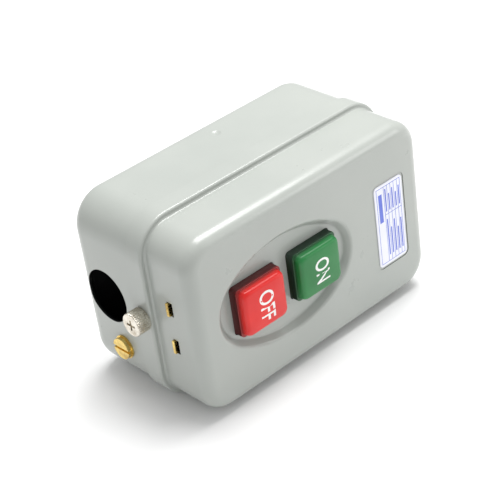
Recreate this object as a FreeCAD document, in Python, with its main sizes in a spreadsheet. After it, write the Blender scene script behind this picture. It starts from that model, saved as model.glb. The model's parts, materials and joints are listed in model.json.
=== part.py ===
import FreeCAD, Part
import math
import os
import re
import Sketcher
from FreeCAD import Placement, Rotation, Vector

# A magnetic motor starter in a two-part pressed steel box. It lies on its side:
# +X runs to the label end, -Y to the front with the buttons, and +Z is up.
# The back face is at Y = 0. Depths are measured from it towards the front, so Y = -depth.

document = FreeCAD.newDocument("MotorStarter")

sizes = {
    # cover and back box, pressed from sheet
    "sheetThick": 1.2,
    "caseLength": 146.0,
    "caseWidth": 90.0,
    "caseDepth": 80.0,
    "frontCornerRadius": 14.5,
    "frontEdgeRadius": 6.2,
    "skirtStep": 3.0,
    "skirtRearDepth": 41.5,
    "skirtFrontDepth": 52.0,
    "skirtCornerRadius": 18.8,
    "skirtGap": 0.2,
    "stepEdgeRadius": 1.2,
    "stepRootRadius": 1.1,
    "rimDepth": 50.0,
    "boxRearRadius": 8.5,
    # openings and fixings of the back box
    "entryRadius": 13.5,
    "entryDepth": 19.5,
    "fixingPitchLong": 122.0,
    "fixingPitchWide": 66.0,
    "fixingRadius": 2.75,
    "dimpleCentre": 5.0,
    "dimpleDepth": 15.5,
    "dimpleRadius": 2.6,
    "dimpleSink": 0.6,
    # oval dish on the front and its buttons
    "dishCentre": -18.0,
    "dishLength": 83.0,
    "dishMargin": 13.75,
    "dishEndMargin": 7.5,
    "dishSink": 3.7,
    "dishSlope": 38.0,
    "dishLipRadius": 2.2,
    "dishFloorRadius": 1.5,
    "offCentre": -35.7,
    "onCentre": -0.8,
    "buttonLength": 27.0,
    "buttonWidth": 25.0,
    "capInset": 0.5,
    "capStepSink": 0.6,
    "capProud": 5.2,
    "capEdgeRadius": 2.4,
    "buttonCornerRadius": 2.0,
    "buttonGap": 0.35,
    "buttonTravel": 4.0,
    "flangeReach": 1.6,
    "flangeThick": 1.3,
    "flangeGap": 0.3,
    "stemWidth": 9.0,
    "stemGap": 0.5,
    # brass strip that guides the button stems
    "guideDepth": 62.5,
    "guideThick": 1.6,
    "guideWidth": 30.0,
    "guideGap": 0.3,
    "lugCentre": 10.0,
    "lugLength": 6.6,
    "lugProud": 1.2,
    "lugGap": 0.3,
    "slotRelief": 1.6,
    # label plate
    "labelCentreLong": 50.0,
    "labelCentreWide": -2.0,
    "labelLength": 18.8,
    "labelWidth": 43.8,
    "labelThick": 0.5,
    "labelCornerRadius": 2.0,
    "labelBorder": 1.3,
    "labelSink": 0.3,
    # knurled cover screw
    "thumbHeadRadius": 5.4,
    "thumbHeadLength": 7.2,
    "thumbShankRadius": 2.0,
    "thumbHoleRadius": 2.3,
    "thumbNutRadius": 4.4,
    "thumbNutThick": 3.0,
    "knurlDepth": 0.35,
    "knurlCount": 30,
    "knurlSetIn": 0.6,
    "recessWidth": 1.2,
    "recessLength": 5.6,
    "recessSink": 0.9,
    # earth screw
    "earthDepth": 26.0,
    "earthWide": -25.5,
    "earthHeadRadius": 5.4,
    "earthHeadThick": 2.0,
    "earthWasherRadius": 6.0,
    "earthWasherThick": 0.8,
    "earthShankRadius": 2.4,
    "earthNutRadius": 4.6,
    "earthNutThick": 3.2,
    "earthSlotWidth": 1.4,
    "earthSlotSink": 1.0,
    # chassis plate
    "chassisLength": 108.0,
    "chassisThick": 1.5,
    "bossHeight": 3.8,
    "bossRadius": 4.0,
    "chassisScrewLong": 96.0,
    "chassisScrewSetIn": 4.0,
    "screwRadius": 1.6,
    "screwGap": 0.1,
    "screwHeadRadius": 3.2,
    "screwHeadThick": 2.0,
    "screwSlotWidth": 0.8,
    "screwSlotSink": 0.9,
    # contactor
    "contactorCentre": 33.0,
    "contactorLength": 44.0,
    "poleMargin": 1.5,
    "mouldWall": 2.0,
    "magnetHeight": 27.5,
    "deckHeight": 10.0,
    "chamberHeight": 15.5,
    "chamberLength": 30.0,
    "polePitch": 10.5,
    "partitionThick": 1.4,
    "barrierHeight": 7.0,
    "coreLength": 12.0,
    "coreSetIn": 5.5,
    "coreLegWidth": 5.0,
    "coreMidLeg": 10.0,
    "coreYoke": 6.0,
    "coreLegHeight": 9.3,
    "moverLegHeight": 4.0,
    "magnetGap": 4.1,
    "magnetTravel": 4.0,
    "ringThick": 0.6,
    "ringHeight": 1.8,
    "bobbinWall": 1.2,
    "bobbinGap": 0.4,
    "bobbinLength": 25.2,
    "windingInset": 1.0,
    "carrierGap": 0.6,
    "towerLength": 6.0,
    "towerWidth": 7.2,
    "towerHeight": 15.0,
    "bridgeLength": 19.0,
    "bridgeWidth": 4.4,
    "bridgeThick": 1.0,
    "stripThick": 1.2,
    "stripWidth": 6.4,
    "tipThick": 1.0,
    "tipLength": 3.0,
    "contactGap": 4.05,
    "looseGap": 0.3,
    "earWidth": 5.5,
    "earLength": 10.0,
    "earThick": 3.0,
    # overload relay
    "relayCentre": -30.0,
    "relayLength": 48.0,
    "relayHeight": 29.5,
    "relayLidThick": 2.0,
    "bimetalLength": 20.0,
    "bimetalWidth": 5.0,
    "bimetalThick": 0.8,
    "bimetalCentre": -31.5,
    "heaterRadius": 3.3,
    "heaterWire": 0.45,
    "tripBarLength": 36.0,
    "tripBarThick": 2.0,
    "fingerThick": 1.4,
    "leverArm": 9.0,
    "leverThick": 2.0,
    "leverPinRadius": 1.2,
    "pivotGap": 0.08,
    "dialCentre": -18.5,
    "dialWide": 8.5,
    "dialRadius": 4.5,
    "dialThick": 2.0,
    "dialShaftRadius": 1.6,
    "resetWide": -8.5,
    "resetRadius": 3.0,
    "resetProud": 2.6,
    # start and stop contact blocks on their bracket
    "bracketThick": 1.5,
    "bracketDepth": 42.0,
    "bracketSpace": 4.0,
    "bracketLeftEnd": -45.0,
    "bracketRightEnd": 8.6,
    "bracketFoot": 7.0,
    "blockLength": 18.0,
    "blockWidth": 34.0,
    "blockHeight": 16.0,
    "plungerLength": 7.0,
    "plungerWidth": 8.0,
    "plungerGap": 0.3,
    "blockTerminalWide": 12.5,
    "blockBridgeLength": 13.2,
    "blockBridgeThick": 0.8,
    "blockTabThick": 1.0,
    # springs
    "buttonSpringRadius": 7.2,
    "buttonSpringWire": 0.5,
    "returnSpringRadius": 2.2,
    "returnSpringWire": 0.3,
    "smallSpringRadius": 1.5,
    "smallSpringWire": 0.25,
    "plungerSpringRadius": 1.7,
    "plungerSpringWire": 0.3,
    # control wiring
    "leadRadius": 1.0,
    # spring clip at the label end
    "clipWidth": 14.0,
    "clipThick": 0.9,
    "clipGap": 0.15,
    "clipSpace": 1.5,
    "clipTongue": 9.0,
    "clipBend": 4.0,
}

sheet = document.addObject("Spreadsheet::Sheet", "Sizes")
for row, (alias, size) in enumerate(sizes.items(), start=1):
    sheet.set(f"A{row}", str(size))
    sheet.setAlias(f"A{row}", alias)
derived = {
    "thumbDepth": "(skirtRearDepth + skirtFrontDepth) / 2",
    "dishWidth": "buttonWidth + 2 * dishMargin",
    "dishEndRadius": "buttonWidth / 2 + dishEndMargin",
    "contactorWidth": "4 * polePitch + 2 * poleMargin",
    "bracketWidth": "contactorWidth + 2 * bracketSpace + 2 * bracketThick",
    "chassisWidth": "bracketWidth + 2 * bracketFoot",
    "chassisScrewWide": "chassisWidth - 2 * chassisScrewSetIn",
    "coreWidth": "contactorWidth - 2 * coreSetIn",
}
for row, (alias, formula) in enumerate(derived.items(), start=len(sizes) + 1):
    sheet.set(f"A{row}", f"={formula}")
    sheet.setAlias(f"A{row}", alias)
document.recompute()


def val(alias):
    """One driving size as a number, read back from the sheet."""
    return float(sheet.get(alias))


def say(text):
    """An expression in plain aliases, with the sheet's name put before each of them."""
    return re.sub(r"\b([a-z]+[A-Z]\w*)", r"Sizes.\1", str(text))


def bind(item, links):
    for prop, text in links.items():
        item.setExpression(prop, say(text))


# ---------------------------------------------------------------- plain solids


def brick(low, high, name="Brick"):
    """A box between two corners, each a triple of expressions."""
    item = document.addObject("Part::Box", name)
    for axis, prop, start, end in zip("xyz", ("Length", "Width", "Height"), low, high):
        bind(item, {f"Placement.Base.{axis}": start, prop: f"({end}) - ({start})"})
    return item


turned = {
    "x": Rotation(Vector(0, 1, 0), 90),
    "y": Rotation(Vector(1, 0, 0), -90),
    "front": Rotation(Vector(1, 0, 0), 90),
    "z": Rotation(),
}


def drum(axis, centre, radius, length, name="Drum"):
    """A cylinder that starts at centre and runs along axis; front is -Y."""
    item = document.addObject("Part::Cylinder", name)
    item.Placement = Placement(Vector(), turned[axis])
    links = {f"Placement.Base.{a}": text for a, text in zip("xyz", centre)}
    links["Radius"] = radius
    links["Height"] = length
    bind(item, links)
    return item


def prism(axis, centre, radius, length, name="HexPrism"):
    """A hexagonal prism, radius across its corners."""
    item = document.addObject("Part::Prism", name)
    item.Polygon = 6
    item.Placement = Placement(Vector(), turned[axis])
    links = {f"Placement.Base.{a}": text for a, text in zip("xyz", centre)}
    links["Circumradius"] = radius
    links["Height"] = length
    bind(item, links)
    return item


def joined(parts, name="Joined"):
    item = document.addObject("Part::MultiFuse", name)
    item.Shapes = parts
    item.Refine = True
    return item


def together(parts, name="Group"):
    """Separate solids kept as one group."""
    item = document.addObject("Part::Compound", name)
    item.Links = parts
    return item


def without(base, tools, name="Cut"):
    item = document.addObject("Part::Cut", name)
    item.Base = base
    item.Tool = tools[0] if len(tools) == 1 else together(tools, name + "Tools")
    return item


def spring(axis, centre, radius, wire, length, turns, name="Spring"):
    """A coil of round wire; the wire's middle line starts at centre."""
    coil = document.addObject("Part::Helix", name + "Line")
    coil.Placement = Placement(Vector(), turned[axis])
    bind(coil, {"Radius": radius, "Height": length, "Pitch": f"({length}) / {turns}"})
    bind(coil, {f"Placement.Base.{a}": text for a, text in zip("xyz", centre)})
    ring = document.addObject("Part::Circle", name + "Wire")
    # the wire's section stands across the helix's first point
    ring.Placement = Placement(Vector(), turned[axis].multiply(Rotation(Vector(1, 0, 0), 90)))
    shift = (None, None, -1) if axis == "x" else (1, None, None)
    links = {"Radius": wire}
    for a, text, sign in zip("xyz", centre, shift):
        links[f"Placement.Base.{a}"] = text if sign is None else f"({text}) + ({sign}) * ({radius})"
    bind(ring, links)
    item = document.addObject("Part::Sweep", name)
    item.Sections = [ring]
    item.Spine = (coil, ["Edge1"])
    item.Solid = True
    item.Frenet = True
    return item


def slottedScrew(axis, seat, shankLength, headRadius="screwHeadRadius", name="Screw"):
    """A screw with a slotted head: seat is the point under its head, axis the way the head stands."""
    inward = {"front": (0, 1, 0), "x": (-1, 0, 0), "z": (0, 0, -1)}[axis]
    foot = [f"({text}) + ({sign}) * ({shankLength})" for text, sign in zip(seat, inward)]
    head = drum(axis, seat, headRadius, "screwHeadThick", name + "Head")
    shank = drum(axis, foot, "screwRadius", f"({shankLength}) + screwHeadThick / 2", name + "Shank")
    half = "screwSlotWidth / 2"
    top = [f"({text}) - ({sign}) * screwHeadThick" for text, sign in zip(seat, inward)]
    wide = f"({headRadius} + 1)"
    if axis == "front":
        low = (f"{top[0]} - {wide}", f"{top[1]} - 1", f"{top[2]} - {half}")
        high = (f"{top[0]} + {wide}", f"{top[1]} + screwSlotSink", f"{top[2]} + {half}")
    elif axis == "x":
        low = (f"{top[0]} - screwSlotSink", f"{top[1]} - {wide}", f"{top[2]} - {half}")
        high = (f"{top[0]} + 1", f"{top[1]} + {wide}", f"{top[2]} + {half}")
    else:
        low = (f"{top[0]} - {wide}", f"{top[1]} - {half}", f"{top[2]} - screwSlotSink")
        high = (f"{top[0]} + {wide}", f"{top[1]} + {half}", f"{top[2]} + 1")
    return without(joined([head, shank]), [brick(low, high)], name)


def terminalScrew(seat, shankLength):
    return slottedScrew("front", seat, shankLength, "screwHeadRadius - 0.5", "TerminalScrew")


# ------------------------------------------------------------ sketched solids


def newBody(name):
    return document.addObject("PartDesign::Body", name)


def newSketch(body, role, offset, name):
    """A sketch on one of the body's own planes, moved along the plane's normal."""
    sketch = body.newObject("Sketcher::SketchObject", name)
    plane = [feature for feature in body.Origin.OriginFeatures if feature.Role == role][0]
    sketch.AttachmentSupport = [(plane, "")]
    sketch.MapMode = "FlatFace"
    bind(sketch, {"AttachmentOffset.Base.z": offset})
    return sketch


def pin(sketch, kind, geometry, point, text, name):
    """Fix one coordinate of a sketch point to an expression, starting from where it is."""
    now = sketch.getPoint(geometry, point)
    start = now.x if kind == "DistanceX" else now.y
    index = sketch.addConstraint(Sketcher.Constraint(kind, -1, 1, geometry, point, start))
    sketch.renameConstraint(index, name)
    bind(sketch, {f"Constraints.{name}": text})


def polygon(sketch, points):
    """A closed outline through points, each a pair of expressions."""
    count = len(points)
    turns = [2 * math.pi * i / count for i in range(count)]
    corner = [Vector(math.cos(turn), math.sin(turn), 0) for turn in turns]
    first = sketch.GeometryCount
    for i in range(count):
        sketch.addGeometry(Part.LineSegment(corner[i], corner[(i + 1) % count]), False)
    for i in range(count):
        sketch.addConstraint(Sketcher.Constraint("Coincident", first + i, 2, first + (i + 1) % count, 1))
    for i, (across, up) in enumerate(points):
        pin(sketch, "DistanceX", first + i, 1, across, f"across{first + i}")
        pin(sketch, "DistanceY", first + i, 1, up, f"up{first + i}")


def rectangle(sketch, centre, length, width):
    near, far = f"{centre[0]} - ({length}) / 2", f"{centre[0]} + ({length}) / 2"
    low, high = f"{centre[1]} - ({width}) / 2", f"{centre[1]} + ({width}) / 2"
    polygon(sketch, [(near, low), (far, low), (far, high), (near, high)])


def padded(body, sketch, length, name):
    pad = body.newObject("PartDesign::Pad", name)
    pad.Profile = sketch
    bind(pad, {"Length": length})
    document.recompute()
    return pad


def edgesOf(feature, wanted):
    return [f"Edge{i}" for i, edge in enumerate(feature.Shape.Edges, start=1) if wanted(edge)]


def runsInDepth(edge):
    """True for a straight edge along Y."""
    if len(edge.Vertexes) < 2 or edge.Curve.TypeId != "Part::GeomLine":
        return False
    run = edge.Vertexes[1].Point - edge.Vertexes[0].Point
    return abs(abs(run.y) - run.Length) < 1e-6


def atDepth(depth):
    """A test for edges that lie wholly at one depth."""
    return lambda edge: abs(edge.BoundBox.YMin + depth) < 1e-4 and abs(edge.BoundBox.YMax + depth) < 1e-4


def rounded(body, feature, wanted, radius, name):
    fillet = body.newObject("PartDesign::Fillet", name)
    fillet.Base = (feature, edgesOf(feature, wanted))
    bind(fillet, {"Radius": radius})
    document.recompute()
    return fillet


def roundedBlock(body, centre, length, width, start, end, radius, name):
    """A pad with rounded corners between two depths."""
    sketch = newSketch(body, "XZ_Plane", start, name + "Outline")
    rectangle(sketch, centre, length, width)
    pad = padded(body, sketch, f"({end}) - ({start})", name)
    return rounded(body, pad, runsInDepth, radius, name + "Corners")


nodes = []
# fasteners of one kind are collected here and kept as one group each
terminalScrews = []
mountingScrews = []


def keep(label, item):
    """Mark a finished sub-part under the name of its file."""
    item.Label = label
    nodes.append(item)
    return item


# ------------------------------------------------------------------- back box

skirtLength = "(caseLength + 2 * skirtStep)"
skirtWidth = "(caseWidth + 2 * skirtStep)"
boxLength = "(caseLength + 2 * skirtStep - 2 * sheetThick - 2 * skirtGap)"
boxWidth = "(caseWidth + 2 * skirtStep - 2 * sheetThick - 2 * skirtGap)"
boxCornerRadius = "(skirtCornerRadius - sheetThick - skirtGap)"
boxEnd = f"({boxLength} / 2)"
boxEndInside = f"({boxLength} / 2 - sheetThick)"


def boxForm(name, inset, rim):
    """The drawn shape of the back box, shrunk by inset; the box is one form less another."""
    body = newBody(name)
    block = roundedBlock(
        body, ("0", "0"), f"{boxLength} - 2 * {inset}", f"{boxWidth} - 2 * {inset}",
        inset, rim, f"{boxCornerRadius} - {inset}", name + "Block",
    )
    rearDepth = val("sheetThick") if inset == "sheetThick" else 0.0
    rounded(body, block, atDepth(rearDepth), f"boxRearRadius - {inset}", name + "Rear")
    return body


def endHole(side, depth, wide, radius):
    """A drill through one end wall; side is -1 or 1."""
    start = f"{side} * ({skirtLength} / 2 + 5) - {10 if side > 0 else 0}"
    return drum("x", (start, f"-({depth})", wide), radius, "10")


def makeBackBox():
    outside = boxForm("BoxOutside", "0", "rimDepth")
    inside = boxForm("BoxInside", "sheetThick", "rimDepth + 5")
    shell = without(outside, [inside], "BoxShell")
    tools = [
        endHole(-1, "entryDepth", "0", "entryRadius"),
        endHole(1, "entryDepth", "0", "entryRadius"),
        endHole(-1, "earthDepth", "earthWide", "earthShankRadius + screwGap"),
        endHole(-1, "thumbDepth", "0", "thumbHoleRadius"),
        # the screw's hole is open to the rim, so that the cover lifts straight off
        brick(
            (f"-{boxEnd} - 2", "-rimDepth - 1", "-thumbHoleRadius"),
            (f"-{boxEndInside} + 2", "-thumbDepth", "thumbHoleRadius"),
        ),
    ]
    for across in (-1, 1):
        for up in (-1, 1):
            centre = (f"{across} * fixingPitchLong / 2", "-sheetThick - 1", f"{up} * fixingPitchWide / 2")
            tools.append(drum("y", centre, "fixingRadius", "sheetThick + 2"))
    # shallow ball-shaped dimples in the two long sides
    ballRadius = "((dimpleRadius ^ 2 + dimpleSink ^ 2) / (2 * dimpleSink))"
    for up in (-1, 1):
        ball = document.addObject("Part::Sphere", "Dimple")
        bind(ball, {
            "Radius": ballRadius,
            "Placement.Base.x": "dimpleCentre",
            "Placement.Base.y": "-dimpleDepth",
            "Placement.Base.z": f"{up} * ({boxWidth} / 2 + {ballRadius} - dimpleSink)",
        })
        tools.append(ball)
    keep("back_box", without(shell, tools, "BackBox"))


# ---------------------------------------------------------------------- cover


def oval(sketch, centre, halfLong, halfWide, endRadius, grow, start):
    """Two end arcs and two flatter side arcs, tangent where they meet; start is the same in numbers."""
    reach = f"({halfLong} - {endRadius})"
    large = f"(({reach} ^ 2 + {halfWide} ^ 2 - {endRadius} ^ 2) / (2 * ({halfWide} - {endRadius})))"
    span = f"({large} - {endRadius})"
    meetLong = f"({reach} + ({endRadius} + {grow}) * {reach} / {span})"
    meetWide = f"(({endRadius} + {grow}) * ({large} - {halfWide}) / {span})"
    middle, longer, wider, small = start
    far = longer - small
    big = (far**2 + wider**2 - small**2) / (2 * (wider - small))
    lean = math.atan2(big - wider, far)
    up = Vector(0, 0, 1)
    for spot, radius, first, last in (
        (Vector(middle + far, 0, 0), small, -lean, lean),
        (Vector(middle, wider - big, 0), big, lean, math.pi - lean),
        (Vector(middle - far, 0, 0), small, math.pi - lean, math.pi + lean),
        (Vector(middle, big - wider, 0), big, math.pi + lean, 2 * math.pi - lean),
    ):
        sketch.addGeometry(Part.ArcOfCircle(Part.Circle(spot, up, radius), first, last), False)
    for i, (across, high) in enumerate(((1, -1), (1, 1), (-1, 1), (-1, -1))):
        sketch.addConstraint(Sketcher.Constraint("Coincident", i, 1, (i + 3) % 4, 2))
        pin(sketch, "DistanceX", i, 1, f"{centre} + {across} * {meetLong}", f"meetAcross{i}")
        pin(sketch, "DistanceY", i, 1, f"{high} * {meetWide}", f"meetUp{i}")
        radius = sketch.addConstraint(Sketcher.Constraint("Radius", i, sketch.Geometry[i].Radius))
        sketch.renameConstraint(radius, f"radius{i}")
        bind(sketch, {f"Constraints.radius{i}": f"{large if i % 2 else endRadius} + {grow}"})


def dishSketch(body, grow, name):
    """The dish's outline on the front plane, grown by the sheet's thickness on the inside form."""
    extra = val(grow) if grow in sizes else 0.0
    sketch = newSketch(body, "XZ_Plane", f"caseDepth - {grow}", name)
    start = (
        val("dishCentre"), val("dishLength") / 2 + extra,
        val("dishWidth") / 2 + extra, val("dishEndRadius") + extra,
    )
    oval(sketch, "dishCentre", "(dishLength / 2)", "(dishWidth / 2)", "dishEndRadius", grow, start)
    return sketch


def coverForm(name, inset):
    """The drawn shape of the cover, shrunk by inset, with its skirt, step, front and dish."""
    inside = inset == "sheetThick"
    body = newBody(name)
    rear = "skirtRearDepth - 5" if inside else "skirtRearDepth"
    skirt = roundedBlock(
        body, ("0", "0"), f"{skirtLength} - 2 * {inset}", f"{skirtWidth} - 2 * {inset}",
        rear, f"skirtFrontDepth - {inset}", f"skirtCornerRadius - {inset}", name + "Skirt",
    )
    if not inside:
        rounded(body, skirt, atDepth(val("skirtFrontDepth")), "stepEdgeRadius", name + "StepEdge")
    front = newSketch(body, "XZ_Plane", rear, name + "FrontOutline")
    half, wide = f"(caseLength / 2 - {inset})", f"(caseWidth / 2 - {inset})"
    shrink = val("sheetThick") if inside else 0.0
    start = (val("caseLength") / 2 - shrink, val("caseWidth") / 2 - shrink, val("frontCornerRadius") - shrink)
    roundedOutline(front, half, wide, f"frontCornerRadius - {inset}", start)
    pad = padded(body, front, f"caseDepth - {inset} - ({rear})", name + "Front")
    if not inside:
        pad = rounded(body, pad, atStepRoot, "stepRootRadius", name + "StepRoot")
    flatDepth = val("caseDepth") - shrink
    rounded(body, pad, atDepth(flatDepth), f"frontEdgeRadius - {inset}", name + "FrontEdge")
    before = body.Shape.Volume
    pocket = body.newObject("PartDesign::Pocket", name + "Dish")
    pocket.Profile = dishSketch(body, inset, name + "DishOutline")
    pocket.TaperAngle = -val("dishSlope")
    bind(pocket, {"Length": "dishSink"})
    document.recompute()
    if not body.Shape.Volume < before - 1:
        raise ValueError(f"{name}: the dish cuts nothing")

    def onLip(edge):
        return atDepth(flatDepth)(edge) and inDish(edge)

    lip = rounded(body, pocket, onLip, f"dishLipRadius - {inset}", name + "DishLip")
    rounded(body, lip, atDepth(flatDepth - val("dishSink")), f"dishFloorRadius + {inset}", name + "DishFloor")
    return body


def atStepRoot(edge):
    """True for an edge in the hollow corner where the front's walls rise from the skirt."""
    box = edge.BoundBox
    onWalls = max(abs(box.XMin), abs(box.XMax)) < val("caseLength") / 2 + 0.1
    return atDepth(val("skirtFrontDepth"))(edge) and onWalls and box.ZMax < val("caseWidth") / 2 + 0.1


def inDish(edge):
    """True for an edge inside the dish's outline."""
    halfLong, halfWide = val("dishLength") / 2 + 3, val("dishWidth") / 2 + 3
    box = edge.BoundBox
    return (
        abs(box.XMin - val("dishCentre")) < halfLong and abs(box.XMax - val("dishCentre")) < halfLong
        and max(abs(box.ZMin), abs(box.ZMax)) < halfWide
    )


def roundedOutline(sketch, half, wide, radius, start):
    """A rectangle with rounded corners, centred on the plane's origin."""
    a, b, r = start
    x, y = a - r, b - r
    up = Vector(0, 0, 1)
    lines = [((-x, -b), (x, -b)), ((a, -y), (a, y)), ((x, b), (-x, b)), ((-a, y), (-a, -y))]
    arcs = [((x, -y), -90), ((x, y), 0), ((-x, y), 90), ((-x, -y), 180)]
    for (p, q), (centre, turn) in zip(lines, arcs):
        sketch.addGeometry(Part.LineSegment(Vector(*p, 0), Vector(*q, 0)), False)
        angle = math.radians(turn)
        ring = Part.Circle(Vector(*centre, 0), up, r)
        sketch.addGeometry(Part.ArcOfCircle(ring, angle, angle + math.pi / 2), False)
    for i in range(8):
        sketch.addConstraint(Sketcher.Constraint("Tangent", i, 2, (i + 1) % 8, 1))
    for i, kind in ((0, "Horizontal"), (2, "Vertical"), (4, "Horizontal"), (6, "Vertical")):
        sketch.addConstraint(Sketcher.Constraint(kind, i))
    for i in (3, 5, 7):
        sketch.addConstraint(Sketcher.Constraint("Equal", 1, i))
    corner = sketch.addConstraint(Sketcher.Constraint("Radius", 1, r))
    sketch.renameConstraint(corner, "corner")
    bind(sketch, {"Constraints.corner": radius})
    pin(sketch, "DistanceY", 0, 1, f"-{wide}", "low")
    pin(sketch, "DistanceX", 2, 1, half, "right")
    pin(sketch, "DistanceY", 4, 1, wide, "high")
    pin(sketch, "DistanceX", 6, 1, f"-{half}", "left")


dishFloorDepth = "(caseDepth - dishSink)"
dishFloorInside = "(caseDepth - dishSink - sheetThick)"
windowLength = "(buttonLength + 2 * buttonGap)"
windowWidth = "(buttonWidth + 2 * buttonGap)"
buttonCentres = {"off": "offCentre", "on": "onCentre"}
ends = (-1, 1)


def roundedPlug(centre, length, width, start, end, radius, name):
    """A rounded block of its own, to cut with or to keep."""
    body = newBody(name)
    roundedBlock(body, centre, length, width, start, end, radius, name + "Block")
    return body


def makeCover():
    shell = without(coverForm("CoverOutside", "0"), [coverForm("CoverInside", "sheetThick")], "CoverShell")
    tools = [endHole(-1, "thumbDepth", "0", "thumbHoleRadius")]
    for name, centre in buttonCentres.items():
        tools.append(roundedPlug(
            (centre, "0"), windowLength, windowWidth, "caseDepth - dishSink - 5", "caseDepth + 1",
            "buttonCornerRadius", name + "Window",
        ))
    for side in ends:
        for up in ends:
            wall = f"{side} * caseLength / 2"
            half = "(lugLength / 2 + lugGap)"
            low = (f"{wall} - 3", "-guideDepth - guideThick - slotRelief", f"{up} * lugCentre - {half}")
            high = (f"{wall} + 3", "-guideDepth + lugGap", f"{up} * lugCentre + {half}")
            tools.append(brick(low, high))
    tools.append(roundedPlug(
        ("labelCentreLong", "labelCentreWide"),
        "labelLength + 2 * labelBorder", "labelWidth + 2 * labelBorder",
        "caseDepth - labelSink", "caseDepth + 1", "labelCornerRadius + labelBorder", "LabelRecess",
    ))
    keep("cover", without(shell, tools, "Cover"))


def makeLabel():
    label = roundedPlug(
        ("labelCentreLong", "labelCentreWide"), "labelLength", "labelWidth",
        "caseDepth - labelSink", "caseDepth - labelSink + labelThick", "labelCornerRadius", "LabelPlate",
    )
    keep("label_plate", label)


def makeButton(name):
    """A cap with a stepped foot, a flange behind the cover and a square stem, all one moulding."""
    centre = (buttonCentres[name], "0")
    flangeFront = f"({dishFloorInside} - flangeGap)"
    flangeRear = f"({flangeFront} - flangeThick)"
    cap = newBody(name + "Cap")
    block = roundedBlock(
        cap, centre, "buttonLength - 2 * capInset", "buttonWidth - 2 * capInset",
        flangeFront, "caseDepth + capProud", "buttonCornerRadius", name + "CapBlock",
    )
    rounded(cap, block, atDepth(val("caseDepth") + val("capProud")), "capEdgeRadius", name + "CapEdge")
    foot = roundedPlug(
        centre, "buttonLength", "buttonWidth", flangeRear, "caseDepth - capStepSink",
        "buttonCornerRadius", name + "Foot",
    )
    flange = roundedPlug(
        centre, f"{windowLength} + 2 * flangeReach", f"{windowWidth} + 2 * flangeReach",
        flangeRear, flangeFront, "buttonCornerRadius + flangeReach", name + "Flange",
    )
    half = "stemWidth / 2"
    stem = brick(
        (f"{centre[0]} - {half}", f"-{flangeFront}", f"-{half}"),
        (f"{centre[0]} + {half}", "-guideDepth + guideGap", half),
    )
    keep(f"{name}_button", joined([cap, foot, flange, stem], name + "Button"))


def makeGuide():
    """The brass strip across the cover, with windows for the stems and lugs through both end walls."""
    inside = "(caseLength / 2 - sheetThick - guideGap)"
    low = (f"-{inside}", "-guideDepth - guideThick", "-guideWidth / 2")
    high = (inside, "-guideDepth", "guideWidth / 2")
    parts = [brick(low, high, "GuideStrip")]
    tip = "(caseLength / 2 + lugProud)"
    for up in ends:
        low = (f"-{tip}", "-guideDepth - guideThick", f"{up} * lugCentre - lugLength / 2")
        high = (tip, "-guideDepth", f"{up} * lugCentre + lugLength / 2")
        parts.append(brick(low, high, "GuideLug"))
    half = "(stemWidth / 2 + stemGap)"
    tools = []
    for centre in buttonCentres.values():
        low = (f"{centre} - {half}", "-guideDepth - guideThick - 1", f"-{half}")
        high = (f"{centre} + {half}", "-guideDepth + 1", half)
        tools.append(brick(low, high))
    keep("button_guide", without(joined(parts), tools, "ButtonGuide"))


def makeButtonSpring(name):
    start = "-(guideDepth + guideThick + buttonSpringWire + 0.05)"
    seats = f"({dishFloorInside} - flangeGap - flangeThick - guideDepth - guideThick)"
    room = f"({seats} - 2 * buttonSpringWire - 0.1)"
    centre = (buttonCentres[name], start, "0")
    coil = spring("front", centre, "buttonSpringRadius", "buttonSpringWire", room, 4, name + "Spring")
    keep(f"{name}_button_spring", coil)


def makeThumbScrew():
    """A knurled nickel screw with a cross recess in its flat end."""
    seat = f"(-{skirtLength} / 2 - 0.1)"
    head = drum("x", (f"{seat} - thumbHeadLength", "-thumbDepth", "0"), "thumbHeadRadius", "thumbHeadLength")
    tools = []
    for i in range(int(val("knurlCount"))):
        angle = 2 * math.pi * i / val("knurlCount")
        groove = document.addObject("Part::Prism", "KnurlGroove")
        groove.Polygon = 4
        spin = Rotation(Vector(0, 0, 1), math.degrees(angle))
        groove.Placement = Placement(Vector(), turned["x"].multiply(spin))
        bind(groove, {
            "Circumradius": "knurlDepth * 1.3",
            "Height": "thumbHeadLength - 2 * knurlSetIn",
            "Placement.Base.x": f"{seat} - thumbHeadLength + knurlSetIn",
            "Placement.Base.y": f"-thumbDepth - thumbHeadRadius * {math.sin(angle + math.pi / 2):.6f}",
            "Placement.Base.z": f"thumbHeadRadius * {math.cos(angle + math.pi / 2):.6f}",
        })
        tools.append(groove)
    face = f"({seat} - thumbHeadLength)"
    for across, high in (("recessLength", "recessWidth"), ("recessWidth", "recessLength")):
        low = (f"{face} - 1", f"-thumbDepth - {across} / 2", f"-{high} / 2")
        top = (f"{face} + recessSink", f"-thumbDepth + {across} / 2", f"{high} / 2")
        tools.append(brick(low, top))
    reach = "2 * sheetThick + skirtGap + thumbNutThick + 3"
    shank = drum("x", (f"{seat} - 1", "-thumbDepth", "0"), "thumbShankRadius", reach)
    keep("thumb_screw", joined([without(head, tools, "KnurledHead"), shank], "ThumbScrew"))
    nutSeat = f"(-{boxEndInside} + 0.3)"
    nut = prism("x", (nutSeat, "-thumbDepth", "0"), "thumbNutRadius", "thumbNutThick")
    bore = drum("x", (f"{nutSeat} - 1", "-thumbDepth", "0"), "thumbShankRadius + 0.05", "thumbNutThick + 2")
    keep("thumb_screw_nut", without(nut, [bore], "ThumbNut"))


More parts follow.
